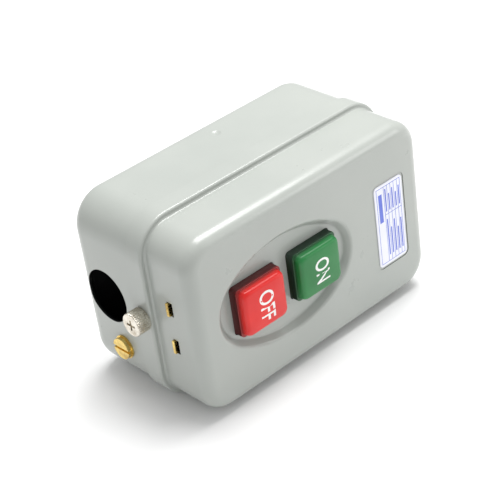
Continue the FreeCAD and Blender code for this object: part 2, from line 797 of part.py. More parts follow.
def makeEarth():
    wall = f"(-{boxEnd})"
    under = (f"{wall} - earthWasherThick", "-earthDepth", "earthWide")
    washer = drum("x", under, "earthWasherRadius", "earthWasherThick")
    bore = drum("x", (f"{wall} - 5", "-earthDepth", "earthWide"), "earthShankRadius + screwGap", "10")
    keep("earth_washer", without(washer, [bore], "EarthWasher"))
    seat = f"({wall} - earthWasherThick)"
    top, reach = f"({seat} - earthHeadThick)", "earthWasherThick + sheetThick + earthNutThick + 3"
    head = drum("x", (top, "-earthDepth", "earthWide"), "earthHeadRadius", "earthHeadThick")
    shank = drum("x", (f"{seat} - 1", "-earthDepth", "earthWide"), "earthShankRadius", reach)
    low = (f"{top} - 1", "-earthDepth - earthHeadRadius - 1", "earthWide - earthSlotWidth / 2")
    high = (f"{top} + earthSlotSink", "-earthDepth + earthHeadRadius + 1", "earthWide + earthSlotWidth / 2")
    keep("earth_screw", without(joined([head, shank]), [brick(low, high)], "EarthScrew"))
    nutSeat = f"(-{boxEndInside} + 0.05)"
    nut = prism("x", (nutSeat, "-earthDepth", "earthWide"), "earthNutRadius", "earthNutThick")
    behind = (f"{nutSeat} - 1", "-earthDepth", "earthWide")
    bore = drum("x", behind, "earthShankRadius + 0.05", "earthNutThick + 2")
    keep("earth_nut", without(nut, [bore], "EarthNut"))


def makeClip():
    """A spring clip inside the label end of the box that grips the end wall of the cover."""
    coverWall = "(caseLength / 2 - sheetThick - clipGap)"
    clipFoot = "(entryDepth + entryRadius + clipSpace)"
    body = newBody("LocatingClip")
    sketch = newSketch(body, "XY_Plane", "-clipWidth / 2", "ClipOutline")
    polygon(sketch, [
        (f"{boxEndInside}", f"-{clipFoot}"),
        (f"{boxEndInside}", "-rimDepth + clipBend"),
        (f"{coverWall}", "-rimDepth - 0.2"),
        (f"{coverWall}", "-rimDepth - clipTongue"),
        (f"{coverWall} - clipThick", "-rimDepth - clipTongue"),
        (f"{coverWall} - clipThick", "-rimDepth + 0.3"),
        (f"{boxEndInside} - clipThick", "-rimDepth + clipBend + 0.5"),
        (f"{boxEndInside} - clipThick", f"-{clipFoot}"),
    ])
    padded(body, sketch, "clipWidth", "ClipPad")
    keep("locating_clip", body)


def makeChassis():
    rear = "(sheetThick + bossHeight)"
    plate = brick(
        ("-chassisLength / 2", f"-{rear} - chassisThick", "-chassisWidth / 2"),
        ("chassisLength / 2", f"-{rear}", "chassisWidth / 2"),
    )
    holes, bosses, screws = [], [], []
    for side in ends:
        for up in ends:
            x, z = f"{side} * chassisScrewLong / 2", f"{up} * chassisScrewWide / 2"
            hole = (x, f"-{rear} - chassisThick - 1", z)
            holes.append(drum("y", hole, "screwRadius + screwGap", "chassisThick + 2"))
            boss = drum("front", (x, "-sheetThick", z), "bossRadius", "bossHeight")
            bore = drum("front", (x, "-sheetThick - 0.6", z), "screwRadius + screwGap", "bossHeight")
            bosses.append(without(boss, [bore], "Boss"))
            seat = (x, f"-{rear} - chassisThick", z)
            screws.append(slottedScrew("front", seat, "chassisThick + bossHeight - 1"))
    keep("chassis_plate", without(plate, holes, "ChassisPlate"))
    keep("chassis_bosses", together(bosses, "ChassisBosses"))
    keep("chassis_screws", together(screws, "ChassisScrews"))


# ------------------------------------------------------------------ contactor

floorFront = "(sheetThick + bossHeight + chassisThick)"
poles = [f"({i - 1.5}) * polePitch" for i in range(4)]
mainPoles = poles[:3]
conLow = "(contactorCentre - contactorLength / 2)"
conHigh = "(contactorCentre + contactorLength / 2)"
magnetTop = f"({floorFront} + magnetHeight)"
deckTop = f"({magnetTop} + deckHeight)"
chamberTop = f"({deckTop} + chamberHeight)"
coreRear = f"({floorFront} + mouldWall + 0.2)"
coreFace = f"({coreRear} + coreYoke + coreLegHeight)"
moverFace = f"({coreFace} + magnetGap)"
moverRear = f"({moverFace} + moverLegHeight)"
carrierRear = f"({moverRear} + coreYoke)"
carrierFront = f"({deckTop} - mouldWall + 0.6 - carrierGap)"


def ears(centre, widthHalf):
    """Two fixing ears on the flanks of a moulding, with their holes and screws."""
    lugs, holes, screws = [], [], []
    for up in ends:
        z = f"{up} * ({widthHalf} + earWidth / 2)"
        # each ear runs half a millimetre into its moulding
        below, above = (0.5, 0) if up > 0 else (0, 0.5)
        lugs.append(brick(
            (f"{centre} - earLength / 2", f"-{floorFront} - earThick", f"{z} - earWidth / 2 - {below}"),
            (f"{centre} + earLength / 2", f"-{floorFront}", f"{z} + earWidth / 2 + {above}"),
        ))
        hole = (centre, f"-{floorFront} - earThick - 1", z)
        holes.append(drum("y", hole, "screwRadius + screwGap", "earThick + chassisThick + 2"))
        seat = (centre, f"-{floorFront} - earThick", z)
        screws.append(slottedScrew("front", seat, "earThick - 0.2", "screwHeadRadius - 0.7"))
    return lugs, holes, screws


def makeContactorBase():
    half = "contactorWidth / 2"
    outside = brick((conLow, f"-{magnetTop}", f"-{half}"), (conHigh, f"-{floorFront}", half))
    lugs, holes, screws = ears("contactorCentre", half)
    hollow = brick(
        (f"{conLow} + mouldWall", f"-{magnetTop} - 1", f"-{half} + mouldWall"),
        (f"{conHigh} - mouldWall", f"-{floorFront} - mouldWall", f"{half} - mouldWall"),
    )
    mountingScrews.extend(screws)
    return without(joined([outside] + lugs), [hollow] + holes, "ContactorTray")


def eCore(face, yoke, towardsFront, name):
    """An E of laminations: face is the depth of its pole faces, yoke the depth of its back."""
    low, high = (face, yoke) if towardsFront else (yoke, face)
    block = brick(
        ("contactorCentre - coreLength / 2", f"-{high}", "-coreWidth / 2"),
        ("contactorCentre + coreLength / 2", f"-{low}", "coreWidth / 2"),
    )
    if towardsFront:
        start, end = f"-({yoke} - coreYoke)", f"-{face} + 1"
    else:
        start, end = f"-{face} - 1", f"-({yoke} + coreYoke)"
    slots = []
    for up in ends:
        inner, outer = "coreMidLeg / 2", "(coreWidth / 2 - coreLegWidth)"
        low, high = (inner, outer) if up > 0 else (f"-{outer}", f"-{inner}")
        slots.append(brick(("contactorCentre - 20", start, low), ("contactorCentre + 20", end, high)))
    return without(block, slots, name)


def makeMagnet():
    keep("fixed_core", eCore(coreFace, coreRear, False, "FixedCore"))
    keep("moving_core", eCore(moverFace, carrierRear, True, "MovingCore"))
    rings = []
    for up in ends:
        z = f"{up} * (coreWidth / 2 - coreLegWidth / 2)"
        out, inn = "(coreLegWidth / 2 + ringThick)", "(coreLegWidth / 2 + 0.02)"
        reach = "(coreLength / 2 + ringThick)"
        outer = brick(
            (f"contactorCentre - {reach}", f"-{coreFace} + 0.5", f"{z} - {out}"),
            (f"contactorCentre + {reach}", f"-{coreFace} + 0.5 + ringHeight", f"{z} + {out}"),
        )
        inner = brick(
            ("contactorCentre - coreLength / 2 - 0.02", f"-{coreFace} - 1", f"{z} - {inn}"),
            ("contactorCentre + coreLength / 2 + 0.02", f"-{coreFace} + 5", f"{z} + {inn}"),
        )
        rings.append(without(outer, [inner], "ShadingRing"))
    keep("shading_rings", together(rings, "ShadingRings"))


def makeCoil():
    start = f"({coreRear} + coreYoke + 0.2)"
    end = f"({coreFace} + magnetGap - bobbinGap)"
    boreLong, boreWide = "(coreLength / 2 + bobbinGap)", "(coreMidLeg / 2 + bobbinGap)"
    tubeLong, tubeWide = f"({boreLong} + bobbinWall)", f"({boreWide} + bobbinWall)"
    flangeLong, flangeWide = "(bobbinLength / 2)", "(coreWidth / 2 - coreLegWidth - bobbinGap)"

    def centred(longHalf, wideHalf, low, high):
        return brick(
            (f"contactorCentre - {longHalf}", f"-{high}", f"-{wideHalf}"),
            (f"contactorCentre + {longHalf}", f"-{low}", wideHalf),
        )

    tube = centred(tubeLong, tubeWide, start, end)
    rear = centred(flangeLong, flangeWide, start, f"({start} + bobbinWall)")
    front = centred(flangeLong, flangeWide, f"({end} - bobbinWall)", end)
    bore = centred(boreLong, boreWide, f"({start} - 1)", f"({end} + 1)")
    keep("coil_bobbin", without(joined([tube, rear, front]), [bore], "CoilBobbin"))
    low, high = f"({start} + bobbinWall + 0.1)", f"({end} - bobbinWall - 0.1)"
    wound = centred(f"({flangeLong} - windingInset)", f"({flangeWide} - windingInset)", low, high)
    core = centred(f"({tubeLong} + 0.05)", f"({tubeWide} + 0.05)", f"({low} - 1)", f"({high} + 1)")
    keep("coil_winding", without(wound, [core], "CoilWinding"))


stripRear = deckTop
stripFront = f"({deckTop} + stripThick)"
tipFront = f"({stripFront} + tipThick)"
movingTipRear = f"({tipFront} + contactGap)"
bridgeRear = f"({movingTipRear} + tipThick)"
bridgeFront = f"({bridgeRear} + bridgeThick)"
capRear = f"({bridgeFront} + magnetTravel - 0.8)"


def makeCarrier():
    plateHalf = "(contactorLength / 2 - mouldWall - 1)"
    parts = [brick(
        (f"contactorCentre - {plateHalf}", f"-{carrierFront}", "-coreWidth / 2 - 1"),
        (f"contactorCentre + {plateHalf}", f"-{carrierRear}", "coreWidth / 2 + 1"),
    )]
    windows = []
    for pole in poles:
        top = f"({carrierFront} + towerHeight)"
        parts.append(brick(
            ("contactorCentre - towerLength / 2", f"-{top}", f"{pole} - towerWidth / 2"),
            ("contactorCentre + towerLength / 2", f"-{carrierRear} - 0.2", f"{pole} + towerWidth / 2"),
        ))
        windows.append(brick(
            ("contactorCentre - 10", f"-{capRear}", f"{pole} - bridgeWidth / 2 - looseGap"),
            ("contactorCentre + 10", f"-{bridgeRear} + 0.05", f"{pole} + bridgeWidth / 2 + looseGap"),
        ))
    keep("contact_carrier", without(joined(parts), windows, "ContactCarrier"))


def makeContacts():
    bridges, springs = [], []
    sides = {"line": 1, "load": -1}
    strips = {name: [] for name in sides}
    tips, movingTips = [], []
    for pole in poles:
        bridges.append(brick(
            ("contactorCentre - bridgeLength / 2", f"-{bridgeFront}", f"{pole} - bridgeWidth / 2"),
            ("contactorCentre + bridgeLength / 2", f"-{bridgeRear}", f"{pole} + bridgeWidth / 2"),
        ))
        foot = ("contactorCentre", f"-{bridgeFront} - smallSpringWire - 0.03", pole)
        room = f"({capRear} - {bridgeFront} - 2 * smallSpringWire - 0.06)"
        springs.append(spring("front", foot, "smallSpringRadius", "smallSpringWire", room, 3, "ContactSpring"))
        for name, side in sides.items():
            tipMiddle = f"(contactorCentre + {side} * (bridgeLength / 2 - tipLength / 2))"
            outer = f"(contactorCentre + {side} * (contactorLength / 2 - 1))"
            inner = f"(contactorCentre + {side} * (bridgeLength / 2 - tipLength - 0.5))"
            low, high = (inner, outer) if side > 0 else (outer, inner)
            strip = brick(
                (low, f"-{stripFront}", f"{pole} - stripWidth / 2"),
                (high, f"-{stripRear}", f"{pole} + stripWidth / 2"),
            )
            x = f"(contactorCentre + {side} * (contactorLength / 2 - 4))"
            hole = drum("y", (x, f"-{stripFront} - 1", pole), "screwRadius + screwGap", "stripThick + 2")
            strips[name].append(without(strip, [hole], "Strip"))
            lift = "+ stripThick" if side < 0 and pole in mainPoles else ""
            seat = (x, f"-({stripFront} {lift})", pole)
            terminalScrews.append(terminalScrew(seat, f"stripThick {lift} - 0.1"))
            layers = ((tips, stripFront, tipFront), (movingTips, movingTipRear, bridgeRear))
            for group, rear, front in layers:
                group.append(brick(
                    (f"{tipMiddle} - tipLength / 2", f"-{front}", f"{pole} - bridgeWidth / 2 + 0.4"),
                    (f"{tipMiddle} + tipLength / 2", f"-{rear}", f"{pole} + bridgeWidth / 2 - 0.4"),
                ))
    keep("moving_bridges", together(bridges, "MovingBridges"))
    keep("moving_tips", together(movingTips, "MovingTips"))
    keep("fixed_tips", together(tips, "FixedTips"))
    keep("contact_springs", together(springs, "ContactSprings"))
    for name in sides:
        keep(f"{name}_terminals", together(strips[name], name.title() + "Terminals"))


def makeChamber():
    """The arc chamber: a hollow deck with a narrower chamber on it and barriers between the poles."""
    half = "contactorWidth / 2"
    wall = "mouldWall"
    deck = brick((conLow, f"-{deckTop}", f"-{half}"), (conHigh, f"-{magnetTop}", half))
    low, high = "(contactorCentre - chamberLength / 2)", "(contactorCentre + chamberLength / 2)"
    chamber = brick((low, f"-{chamberTop}", f"-{half}"), (high, f"-{deckTop} + 0.5", half))
    parts = [deck, chamber]
    ribs = ["-2 * polePitch", "-polePitch", "0", "polePitch", "2 * polePitch"]
    for rib in ribs:
        parts.append(brick(
            (f"{conLow} + 0.5", f"-{deckTop} - barrierHeight", f"{rib} - partitionThick / 2"),
            (f"{conHigh} - 0.5", f"-{deckTop} + 0.5", f"{rib} + partitionThick / 2"),
        ))
    deckSkin = "(mouldWall - 0.6)"
    tools = [brick(
        (f"{conLow} + {wall}", f"-{deckTop} + {deckSkin}", f"-{half} + {wall}"),
        (f"{conHigh} - {wall}", f"-{magnetTop} + 1", f"{half} - {wall}"),
    )]
    for pole in poles:
        room = "(polePitch / 2 - partitionThick / 2)"
        tools.append(brick(
            (f"{low} + 1.5", f"-{chamberTop} + 1.5", f"{pole} - {room}"),
            (f"{high} - 1.5", f"-{deckTop}", f"{pole} + {room}"),
        ))
        # the contact strips pass through both end walls of the chamber
        tools.append(brick(
            (f"{low} - 5", f"-{stripFront} - 0.2", f"{pole} - stripWidth / 2 - 0.1"),
            (f"{high} + 5", f"-{deckTop}", f"{pole} + stripWidth / 2 + 0.1"),
        ))
        tools.append(brick(
            ("contactorCentre - towerLength / 2 - 0.4", f"-{deckTop} - 1", f"{pole} - towerWidth / 2 - 0.4"),
            ("contactorCentre + towerLength / 2 + 0.4", f"-{magnetTop}", f"{pole} + towerWidth / 2 + 0.4"),
        ))
    keep("arc_chamber", without(joined(parts), tools, "ArcChamber"))


def makeReturnSprings():
    coils = []
    for side in ends:
        x = f"contactorCentre + {side} * (contactorLength / 2 - mouldWall - returnSpringRadius - 1.3)"
        start = f"-({floorFront} + mouldWall + returnSpringWire + 0.05)"
        room = f"({carrierRear} - {floorFront} - mouldWall - 2 * returnSpringWire - 0.1)"
        foot = (x, start, "0")
        coils.append(spring("front", foot, "returnSpringRadius", "returnSpringWire", room, 8, "ReturnSpring"))
    keep("return_springs", together(coils, "ReturnSprings"))


def makeCoilTerminals(tray):
    """The coil's two terminals, on ledges moulded on the contactor's base."""
    ledges, tabs = [], []
    for side in ends:
        x = f"(contactorCentre + {side} * 12)"
        z = "(contactorWidth / 2 + 3.1)"
        top = f"({floorFront} + 16)"
        tab = brick((f"{x} - 3", f"-{top} - 1", f"{z} - 3"), (f"{x} + 3", f"-{top}", f"{z} + 3"))
        hole = drum("y", (x, f"-{top} - 2", z), "screwRadius + screwGap", "4")
        tabs.append(without(tab, [hole], "CoilTab"))
        ledges.append(brick(
            (f"{x} - 4", f"-{top}", "contactorWidth / 2 - 1"), (f"{x} + 4", f"-{top} + 5", f"{z} + 3.4"),
        ))
        terminalScrews.append(terminalScrew((x, f"-{top} - 1", z), "0.9"))
    keep("contactor_base", joined([tray] + ledges, "ContactorBase"))
    keep("coil_terminals", together(tabs, "CoilTerminals"))


# ------------------------------------------------------------- overload relay

relLow = "(relayCentre - relayLength / 2)"
relHigh = "(relayCentre + relayLength / 2)"
relayTop = f"({floorFront} + relayHeight)"
relayLid = f"({relayTop} + relayLidThick)"
linkEntry = f"({floorFront} + 21)"
barRear = f"({relayTop} - 3.2)"
bimetalFoot = f"({floorFront} + mouldWall)"
bimetalTop = f"({bimetalFoot} + bimetalLength)"


def makeRelayCase():
    half = "contactorWidth / 2"
    outside = brick((relLow, f"-{relayTop}", f"-{half}"), (relHigh, f"-{floorFront}", half))
    lugs, holes, screws = ears("relayCentre", half)
    tools = [brick(
        (f"{relLow} + mouldWall", f"-{relayTop} - 1", f"-{half} + mouldWall"),
        (f"{relHigh} - mouldWall", f"-{floorFront} - mouldWall", f"{half} - mouldWall"),
    )]
    for pole in mainPoles:
        tools.append(brick(
            (f"{relHigh} - 5", f"-{linkEntry} - stripThick - 0.1", f"{pole} - stripWidth / 2 - 0.1"),
            (f"{relHigh} + 5", f"-{linkEntry} + 0.1", f"{pole} + stripWidth / 2 + 0.1"),
        ))
    post = drum(
        "front", ("dialCentre", f"-{floorFront} - mouldWall + 0.5", "resetWide"), "resetRadius",
        f"{relayTop} - {floorFront} - mouldWall - 8.5 - plungerSpringWire - 0.1",
    )
    tray = without(joined([outside] + lugs), tools + holes, "RelayTray")
    keep("overload_case", joined([tray, post], "OverloadCase"))
    mountingScrews.extend(screws)
    lid = brick((relLow, f"-{relayLid}", f"-{half}"), (relHigh, f"-{relayTop}", half))
    openings = [
        drum("y", ("dialCentre", f"-{relayLid} - 1", wide), radius, "relayLidThick + 2")
        for wide, radius in (("dialWide", "dialShaftRadius + pivotGap"), ("resetWide", "resetRadius + 0.2"))
    ]
    keep("overload_lid", without(lid, openings, "OverloadLid"))


def makeRelayInside():
    strips, heaters, feet = [], [], []
    for pole in mainPoles:
        strips.append(brick(
            ("bimetalCentre - bimetalWidth / 2", f"-{bimetalTop}", f"{pole} - bimetalThick / 2"),
            ("bimetalCentre + bimetalWidth / 2", f"-{bimetalFoot}", f"{pole} + bimetalThick / 2"),
        ))
        heaters.append(spring(
            "front", ("bimetalCentre", f"-{bimetalFoot} - 3", pole), "heaterRadius", "heaterWire",
            "bimetalLength - 7", 6, "Heater",
        ))
    keep("bimetal_strips", together(strips, "BimetalStrips"))
    keep("heater_windings", together(heaters, "HeaterWindings"))
    bar = [brick(
        ("bimetalCentre - 1.5", f"-{barRear} - tripBarThick", "-tripBarLength / 2"),
        ("bimetalCentre + 1.5", f"-{barRear}", "tripBarLength / 2"),
    )]
    for pole in mainPoles:
        near = f"{pole} + bimetalThick / 2 + 0.1"
        bar.append(brick(
            ("bimetalCentre - 1.5", f"-{barRear} - 0.5", near),
            ("bimetalCentre + 1.5", f"-{bimetalTop} + 2", f"{near} + fingerThick"),
        ))
    bar.append(brick(
        ("bimetalCentre + 1.4", f"-{barRear} - tripBarThick", "11.2"),
        ("bimetalCentre + 2.3", f"-{barRear}", "12.4"),
    ))
    keep("trip_bar", joined(bar, "TripBar"))
    pivot = "(bimetalCentre + 2.3 + leverArm)"
    level = f"({barRear} + 0.1)"
    arm = brick(
        (f"{pivot} - leverArm - 0.6", f"-{level} - tripBarThick + 0.2", "12.5"),
        (f"{pivot} + leverArm - 2", f"-{level}", "12.5 + leverThick"),
    )
    hub = drum("front", (pivot, f"-{level}", "13.5"), "leverPinRadius + 1.2", "tripBarThick - 0.2")
    bore = drum("front", (pivot, f"-{level} + 2", "13.5"), "leverPinRadius + pivotGap", "6")
    keep("trip_lever", without(joined([arm, hub]), [bore], "TripLever"))
    postLength = f"({relayTop} - {floorFront} - mouldWall - 0.1)"
    foot = (pivot, f"-{floorFront} - mouldWall", "13.5")
    keep("trip_lever_pin", drum("front", foot, "leverPinRadius", postLength, "TripLeverPin"))


def makeRelayControls():
    dial = drum("front", ("dialCentre", f"-{relayLid} - 0.1", "dialWide"), "dialRadius", "dialThick")
    foot = ("dialCentre", f"-{relayTop} + 0.6", "dialWide")
    shaft = drum("front", foot, "dialShaftRadius", "relayLidThick + 1.7")
    slot = brick(
        ("dialCentre - dialRadius + 1", f"-{relayLid} - dialThick - 1", "dialWide - 0.5"),
        ("dialCentre + dialRadius - 1", f"-{relayLid} - dialThick + 0.7", "dialWide + 0.5"),
    )
    keep("current_dial", without(joined([dial, shaft]), [slot], "CurrentDial"))
    foot = ("dialCentre", f"-{relayTop} + 1", "resetWide")
    cap = drum("front", foot, "resetRadius", "relayLidThick + resetProud + 1")
    step = ("dialCentre", f"-{relayTop} + 1.6", "resetWide")
    collar = drum("front", step, "resetRadius + 1", "1.4")
    keep("overload_reset", joined([cap, collar], "OverloadReset"))
    coil = spring(
        "front", ("dialCentre", f"-{relayTop} + 9", "resetWide"), "plungerSpringRadius", "plungerSpringWire",
        "9 - 1.6 - plungerSpringWire - 0.1", 5, "ResetSpring",
    )
    keep("reset_spring", coil)


def makeRelayTerminals():
    strips = []
    for pole in mainPoles:
        x = f"({relLow} + 4.5)"
        strip = brick(
            (f"{relLow} + 0.5", f"-{relayLid} - stripThick", f"{pole} - stripWidth / 2"),
            (f"{relLow} + 8.5", f"-{relayLid}", f"{pole} + stripWidth / 2"),
        )
        above = (x, f"-{relayLid} - stripThick - 1", pole)
        hole = drum("y", above, "screwRadius + screwGap", "stripThick + 2")
        strips.append(without(strip, [hole], "RelayStrip"))
        terminalScrews.append(terminalScrew((x, f"-{relayLid} - stripThick", pole), "stripThick - 0.1"))
    keep("overload_terminals", together(strips, "OverloadTerminals"))


def makeLinks():
    """Copper links from the contactor's load terminals down into the overload relay."""
    links = []
    for i, pole in enumerate(mainPoles):
        body = newBody(f"Link{i + 1}")
        sketch = newSketch(body, "XY_Plane", f"{pole} - stripWidth / 2 + 0.3", f"LinkOutline{i + 1}")
        drop = f"({conLow} - 1.9)"
        outer, top = f"({conLow} + 6.8)", f"({stripFront} + stripThick)"
        inner = f"({relHigh} - 6)"
        polygon(sketch, [
            (outer, f"-{stripFront}"), (f"{drop} + stripThick", f"-{stripFront}"),
            (f"{drop} + stripThick", f"-{linkEntry}"), (inner, f"-{linkEntry}"),
            (inner, f"-{linkEntry} - stripThick"), (drop, f"-{linkEntry} - stripThick"),
            (drop, f"-{top}"), (outer, f"-{top}"),
        ])
        padded(body, sketch, "stripWidth - 0.6", f"LinkPad{i + 1}")
        hole = drum("y", (f"{conLow} + 4", f"-{top} - 1", pole), "screwRadius + screwGap", "stripThick + 1.5")
        links.append(without(body, [hole], "Link"))
    keep("power_links", together(links, "PowerLinks"))


# -------------------------------------------------- start and stop contact blocks


def makeBracket():
    front, rear = "bracketDepth", "(bracketDepth - bracketThick)"
    half = "(bracketWidth / 2)"
    low, high = "bracketLeftEnd", "bracketRightEnd"
    parts = [brick((low, f"-{front}", f"-{half}"), (high, f"-{rear}", half))]
    holes = []
    for up in ends:
        inner, outer = f"{up} * ({half} - bracketThick)", f"{up} * {half}"
        a, b = (inner, outer) if up > 0 else (outer, inner)
        parts.append(brick((low, f"-{rear} - 0.1", a), (high, f"-{floorFront}", b)))
        far = f"{up} * ({half} + bracketFoot)"
        a, b = (inner, far) if up > 0 else (far, inner)
        for x in (f"{low} + 5", f"{high} - 12"):
            foot = (f"{x} - 4", f"-{floorFront} - bracketThick", a)
            parts.append(brick(foot, (f"{x} + 4", f"-{floorFront}", b)))
    window = brick(("dialCentre - 5.5", f"-{front} - 1", "-14"), ("dialCentre + 5.5", f"-{rear} + 1", "14"))
    clearance = []
    for up in ends:
        inner, outer = f"({half} - bracketThick - 1)", f"({half} + 0.5)"
        a, b = (inner, outer) if up > 0 else (f"-{outer}", f"-{inner}")
        clearance.append(brick(
            ("relayCentre - earLength / 2 - 1", f"-{floorFront} - earThick - screwHeadThick - 1", a),
            ("relayCentre + earLength / 2 + 1", f"-{floorFront} + 1", b),
        ))
    keep("contact_bracket", without(joined(parts), [window] + clearance, "ContactBracket"))


blockFront = "(bracketDepth + blockHeight)"
blockBridgeFront = f"({blockFront} - 2 - plungerGap - 3)"
blockBridgeRear = f"({blockBridgeFront} - blockBridgeThick)"
# the start block's fixed contacts wait behind the bridge, the stop block's touch its front
blockTabRears = {
    "start": f"({blockBridgeRear} - buttonTravel - 0.05 - blockTabThick)",
    "stop": f"({blockBridgeFront} + 0.05)",
}


def makeBlock(name, button):
    """A contact block: housing, plunger, bridging contact, return spring and two terminals."""
    x, tabRear = buttonCentres[button], blockTabRears[name]
    tabFront = f"({tabRear} + blockTabThick)"
    guideLong, guideWide = "(plungerLength / 2 + plungerGap)", "(plungerWidth / 2 + plungerGap)"
    chamberWide = "(blockBridgeLength / 2 + 0.8)"
    ledge = "(blockWidth / 2 - 8.5)"
    outside = brick(
        (f"{x} - blockLength / 2", f"-{blockFront}", "-blockWidth / 2"),
        (f"{x} + blockLength / 2", "-bracketDepth", "blockWidth / 2"),
    )
    tools = [
        brick((f"{x} - {guideLong}", f"-{blockFront} - 1", f"-{guideWide}"),
              (f"{x} + {guideLong}", "-bracketDepth - 1.5", guideWide)),
        brick((f"{x} - {guideLong}", f"-{blockFront} + 2", f"-{chamberWide}"),
              (f"{x} + {guideLong}", "-bracketDepth - 2.2", chamberWide)),
    ]
    tabs = []
    for up in ends:
        inner, outer = (ledge, "blockWidth / 2 + 1") if up > 0 else ("-blockWidth / 2 - 1", f"-{ledge}")
        tools.append(brick(
            (f"{x} - blockLength", f"-{blockFront} - 1", inner),
            (f"{x} + blockLength", f"-{tabRear}", outer),
        ))
        near, far = "(blockBridgeLength / 2 - 1.8)", "(blockTerminalWide + 3.2)"
        low, high = (near, far) if up > 0 else (f"-{far}", f"-{near}")
        tools.append(brick(
            (f"{x} - 3.6", f"-{tabFront} - 0.1", f"{up} * {ledge} - 2"),
            (f"{x} + 3.6", f"-{tabRear} + 0.05", f"{up} * {ledge} + 2"),
        ))
        tab = brick((f"{x} - 3.5", f"-{tabFront}", low), (f"{x} + 3.5", f"-{tabRear}", high))
        z = f"{up} * blockTerminalWide"
        hole = drum("y", (x, f"-{tabFront} - 1", z), "screwRadius + screwGap", "blockTabThick + 2")
        tabs.append(without(tab, [hole], "Tab"))
        terminalScrews.append(terminalScrew((x, f"-{tabFront}", z), "blockTabThick - 0.1"))
    keep(f"{name}_block", without(outside, tools, name.title() + "Block"))
    keep(f"{name}_plunger", brick(
        (f"{x} - plungerLength / 2", "-guideDepth + guideGap + 0.3", "-plungerWidth / 2"),
        (f"{x} + plungerLength / 2", f"-{blockBridgeFront}", "plungerWidth / 2"),
    ))
    keep(f"{name}_bridge", brick(
        (f"{x} - 2", f"-{blockBridgeFront}", "-blockBridgeLength / 2"),
        (f"{x} + 2", f"-{blockBridgeRear}", "blockBridgeLength / 2"),
    ))
    foot = (x, "-(bracketDepth + 1.5 + plungerSpringWire + 0.05)", "0")
    room = f"({blockBridgeRear} - bracketDepth - 1.5 - 2 * plungerSpringWire - 0.1)"
    coil = spring("front", foot, "plungerSpringRadius", "plungerSpringWire", room, 5, name.title() + "Spring")
    keep(f"{name}_plunger_spring", coil)
    return tabs


def makeBlocks():
    tabs = makeBlock("stop", "off") + makeBlock("start", "on")
    keep("block_terminals", together(tabs, "BlockTerminals"))


# -------------------------------------------------------------- control leads


def lead(points, radius):
    """Insulated wire along straight runs joined by tangent arcs."""
    corners = [Vector(*point) for point in points]
    edges, start = [], corners[0]
    for before, corner, after in zip(corners, corners[1:], corners[2:]):
        inward, outward = (before - corner).normalize(), (after - corner).normalize()
        half = inward.getAngle(outward) / 2
        cutBack = 0.45 * min((before - corner).Length, (after - corner).Length)
        arcRadius = cutBack * math.tan(half)
        first, last = corner + inward * cutBack, corner + outward * cutBack
        middle = corner + (inward + outward).normalize() * (arcRadius / math.sin(half) - arcRadius)
        edges.append(Part.LineSegment(start, first).toShape())
        edges.append(Part.Arc(first, middle, last).toShape())
        start = last
    edges.append(Part.LineSegment(start, corners[-1]).toShape())
    path = Part.Wire(edges)
    heading = corners[1] - corners[0]
    section = Part.Wire(Part.Circle(corners[0], heading, radius).toShape())
    return path.makePipeShell([section], True, True)


def makeLeads():
    """Three leads: coil to start block, start block to stop block, stop block to relay."""
    radius = val("leadRadius")
    lift = radius + 0.1
    floor = val("sheetThick") + val("bossHeight") + val("chassisThick")
    coil = Vector(val("contactorCentre") - 12, -(floor + 17 + lift), val("contactorWidth") / 2 + 3.1)
    bridgeFront = val("bracketDepth") + val("blockHeight") - 2 - val("plungerGap") - 3
    startFront = bridgeFront - val("blockBridgeThick") - val("buttonTravel") - 0.05
    stopFront = bridgeFront + 0.05 + val("blockTabThick")
    wide, aside = val("blockTerminalWide"), val("screwHeadRadius") - 0.5 + lift
    start = Vector(val("onCentre"), -(startFront + lift), wide)
    stop = Vector(val("offCentre"), -(stopFront + lift), wide)
    relay = Vector(
        val("relayCentre") - val("relayLength") / 2 + 4.5,
        -(floor + val("relayHeight") + val("relayLidThick") + val("stripThick") + lift),
        -1.5 * val("polePitch"),
    )
    other = Vector(stop.x, stop.y, -stop.z)
    runs = [
        [coil + Vector(-aside, 0, 1), coil + Vector(-8, -1, 5), coil + Vector(-10, -14, 6),
         coil + Vector(-10, -27, 3), start + Vector(9, -3, 6), start + Vector(aside, 0, 1)],
        [start + Vector(-aside, 0, 0.5), start + Vector(-8, 0, 4), start + Vector(-13, -4, 8),
         stop + Vector(13, 2, 8), stop + Vector(8, 0, 4), stop + Vector(aside, 0, 0.5)],
        [other + Vector(-aside, 0, -0.5), other + Vector(-9, 0, -3), relay + Vector(1, -9, -7),
         relay + Vector(0, -1, -7), relay + Vector(0, 0, -aside)],
    ]
    item = document.addObject("Part::Feature", "ControlLeads")
    item.Shape = Part.makeCompound([lead(points, radius) for points in runs])
    item.Placement = Placement()
    keep("control_leads", item)


makeBackBox()
makeCover()
makeLabel()
for button in buttonCentres:
    makeButton(button)
    makeButtonSpring(button)
makeGuide()
makeThumbScrew()
makeEarth()
makeClip()
makeChassis()
contactorTray = makeContactorBase()
makeMagnet()
makeCoil()
makeCarrier()
makeContacts()
makeChamber()
makeReturnSprings()
makeCoilTerminals(contactorTray)
makeRelayCase()
makeRelayInside()
makeRelayControls()
makeRelayTerminals()
makeLinks()
makeBracket()
makeBlocks()
makeLeads()
keep("terminal_screws", together(terminalScrews, "TerminalScrews"))
keep("mounting_screws", together(mountingScrews, "MountingScrews"))

document.recompute()
failed = [item.Name for item in document.Objects if "Invalid" in item.State or "Error" in item.State]
if failed:
    raise ValueError(f"these objects failed: {failed}")
for item in nodes:
    if item.Shape.isNull() or not item.Shape.isValid():
        raise ValueError(f"{item.Label} has no valid shape")

os.makedirs("parts", exist_ok=True)
for item in nodes:
    item.Shape.exportStep(os.path.join("parts", f"{item.Label}.step"))
print(len(nodes), "sub-parts written")
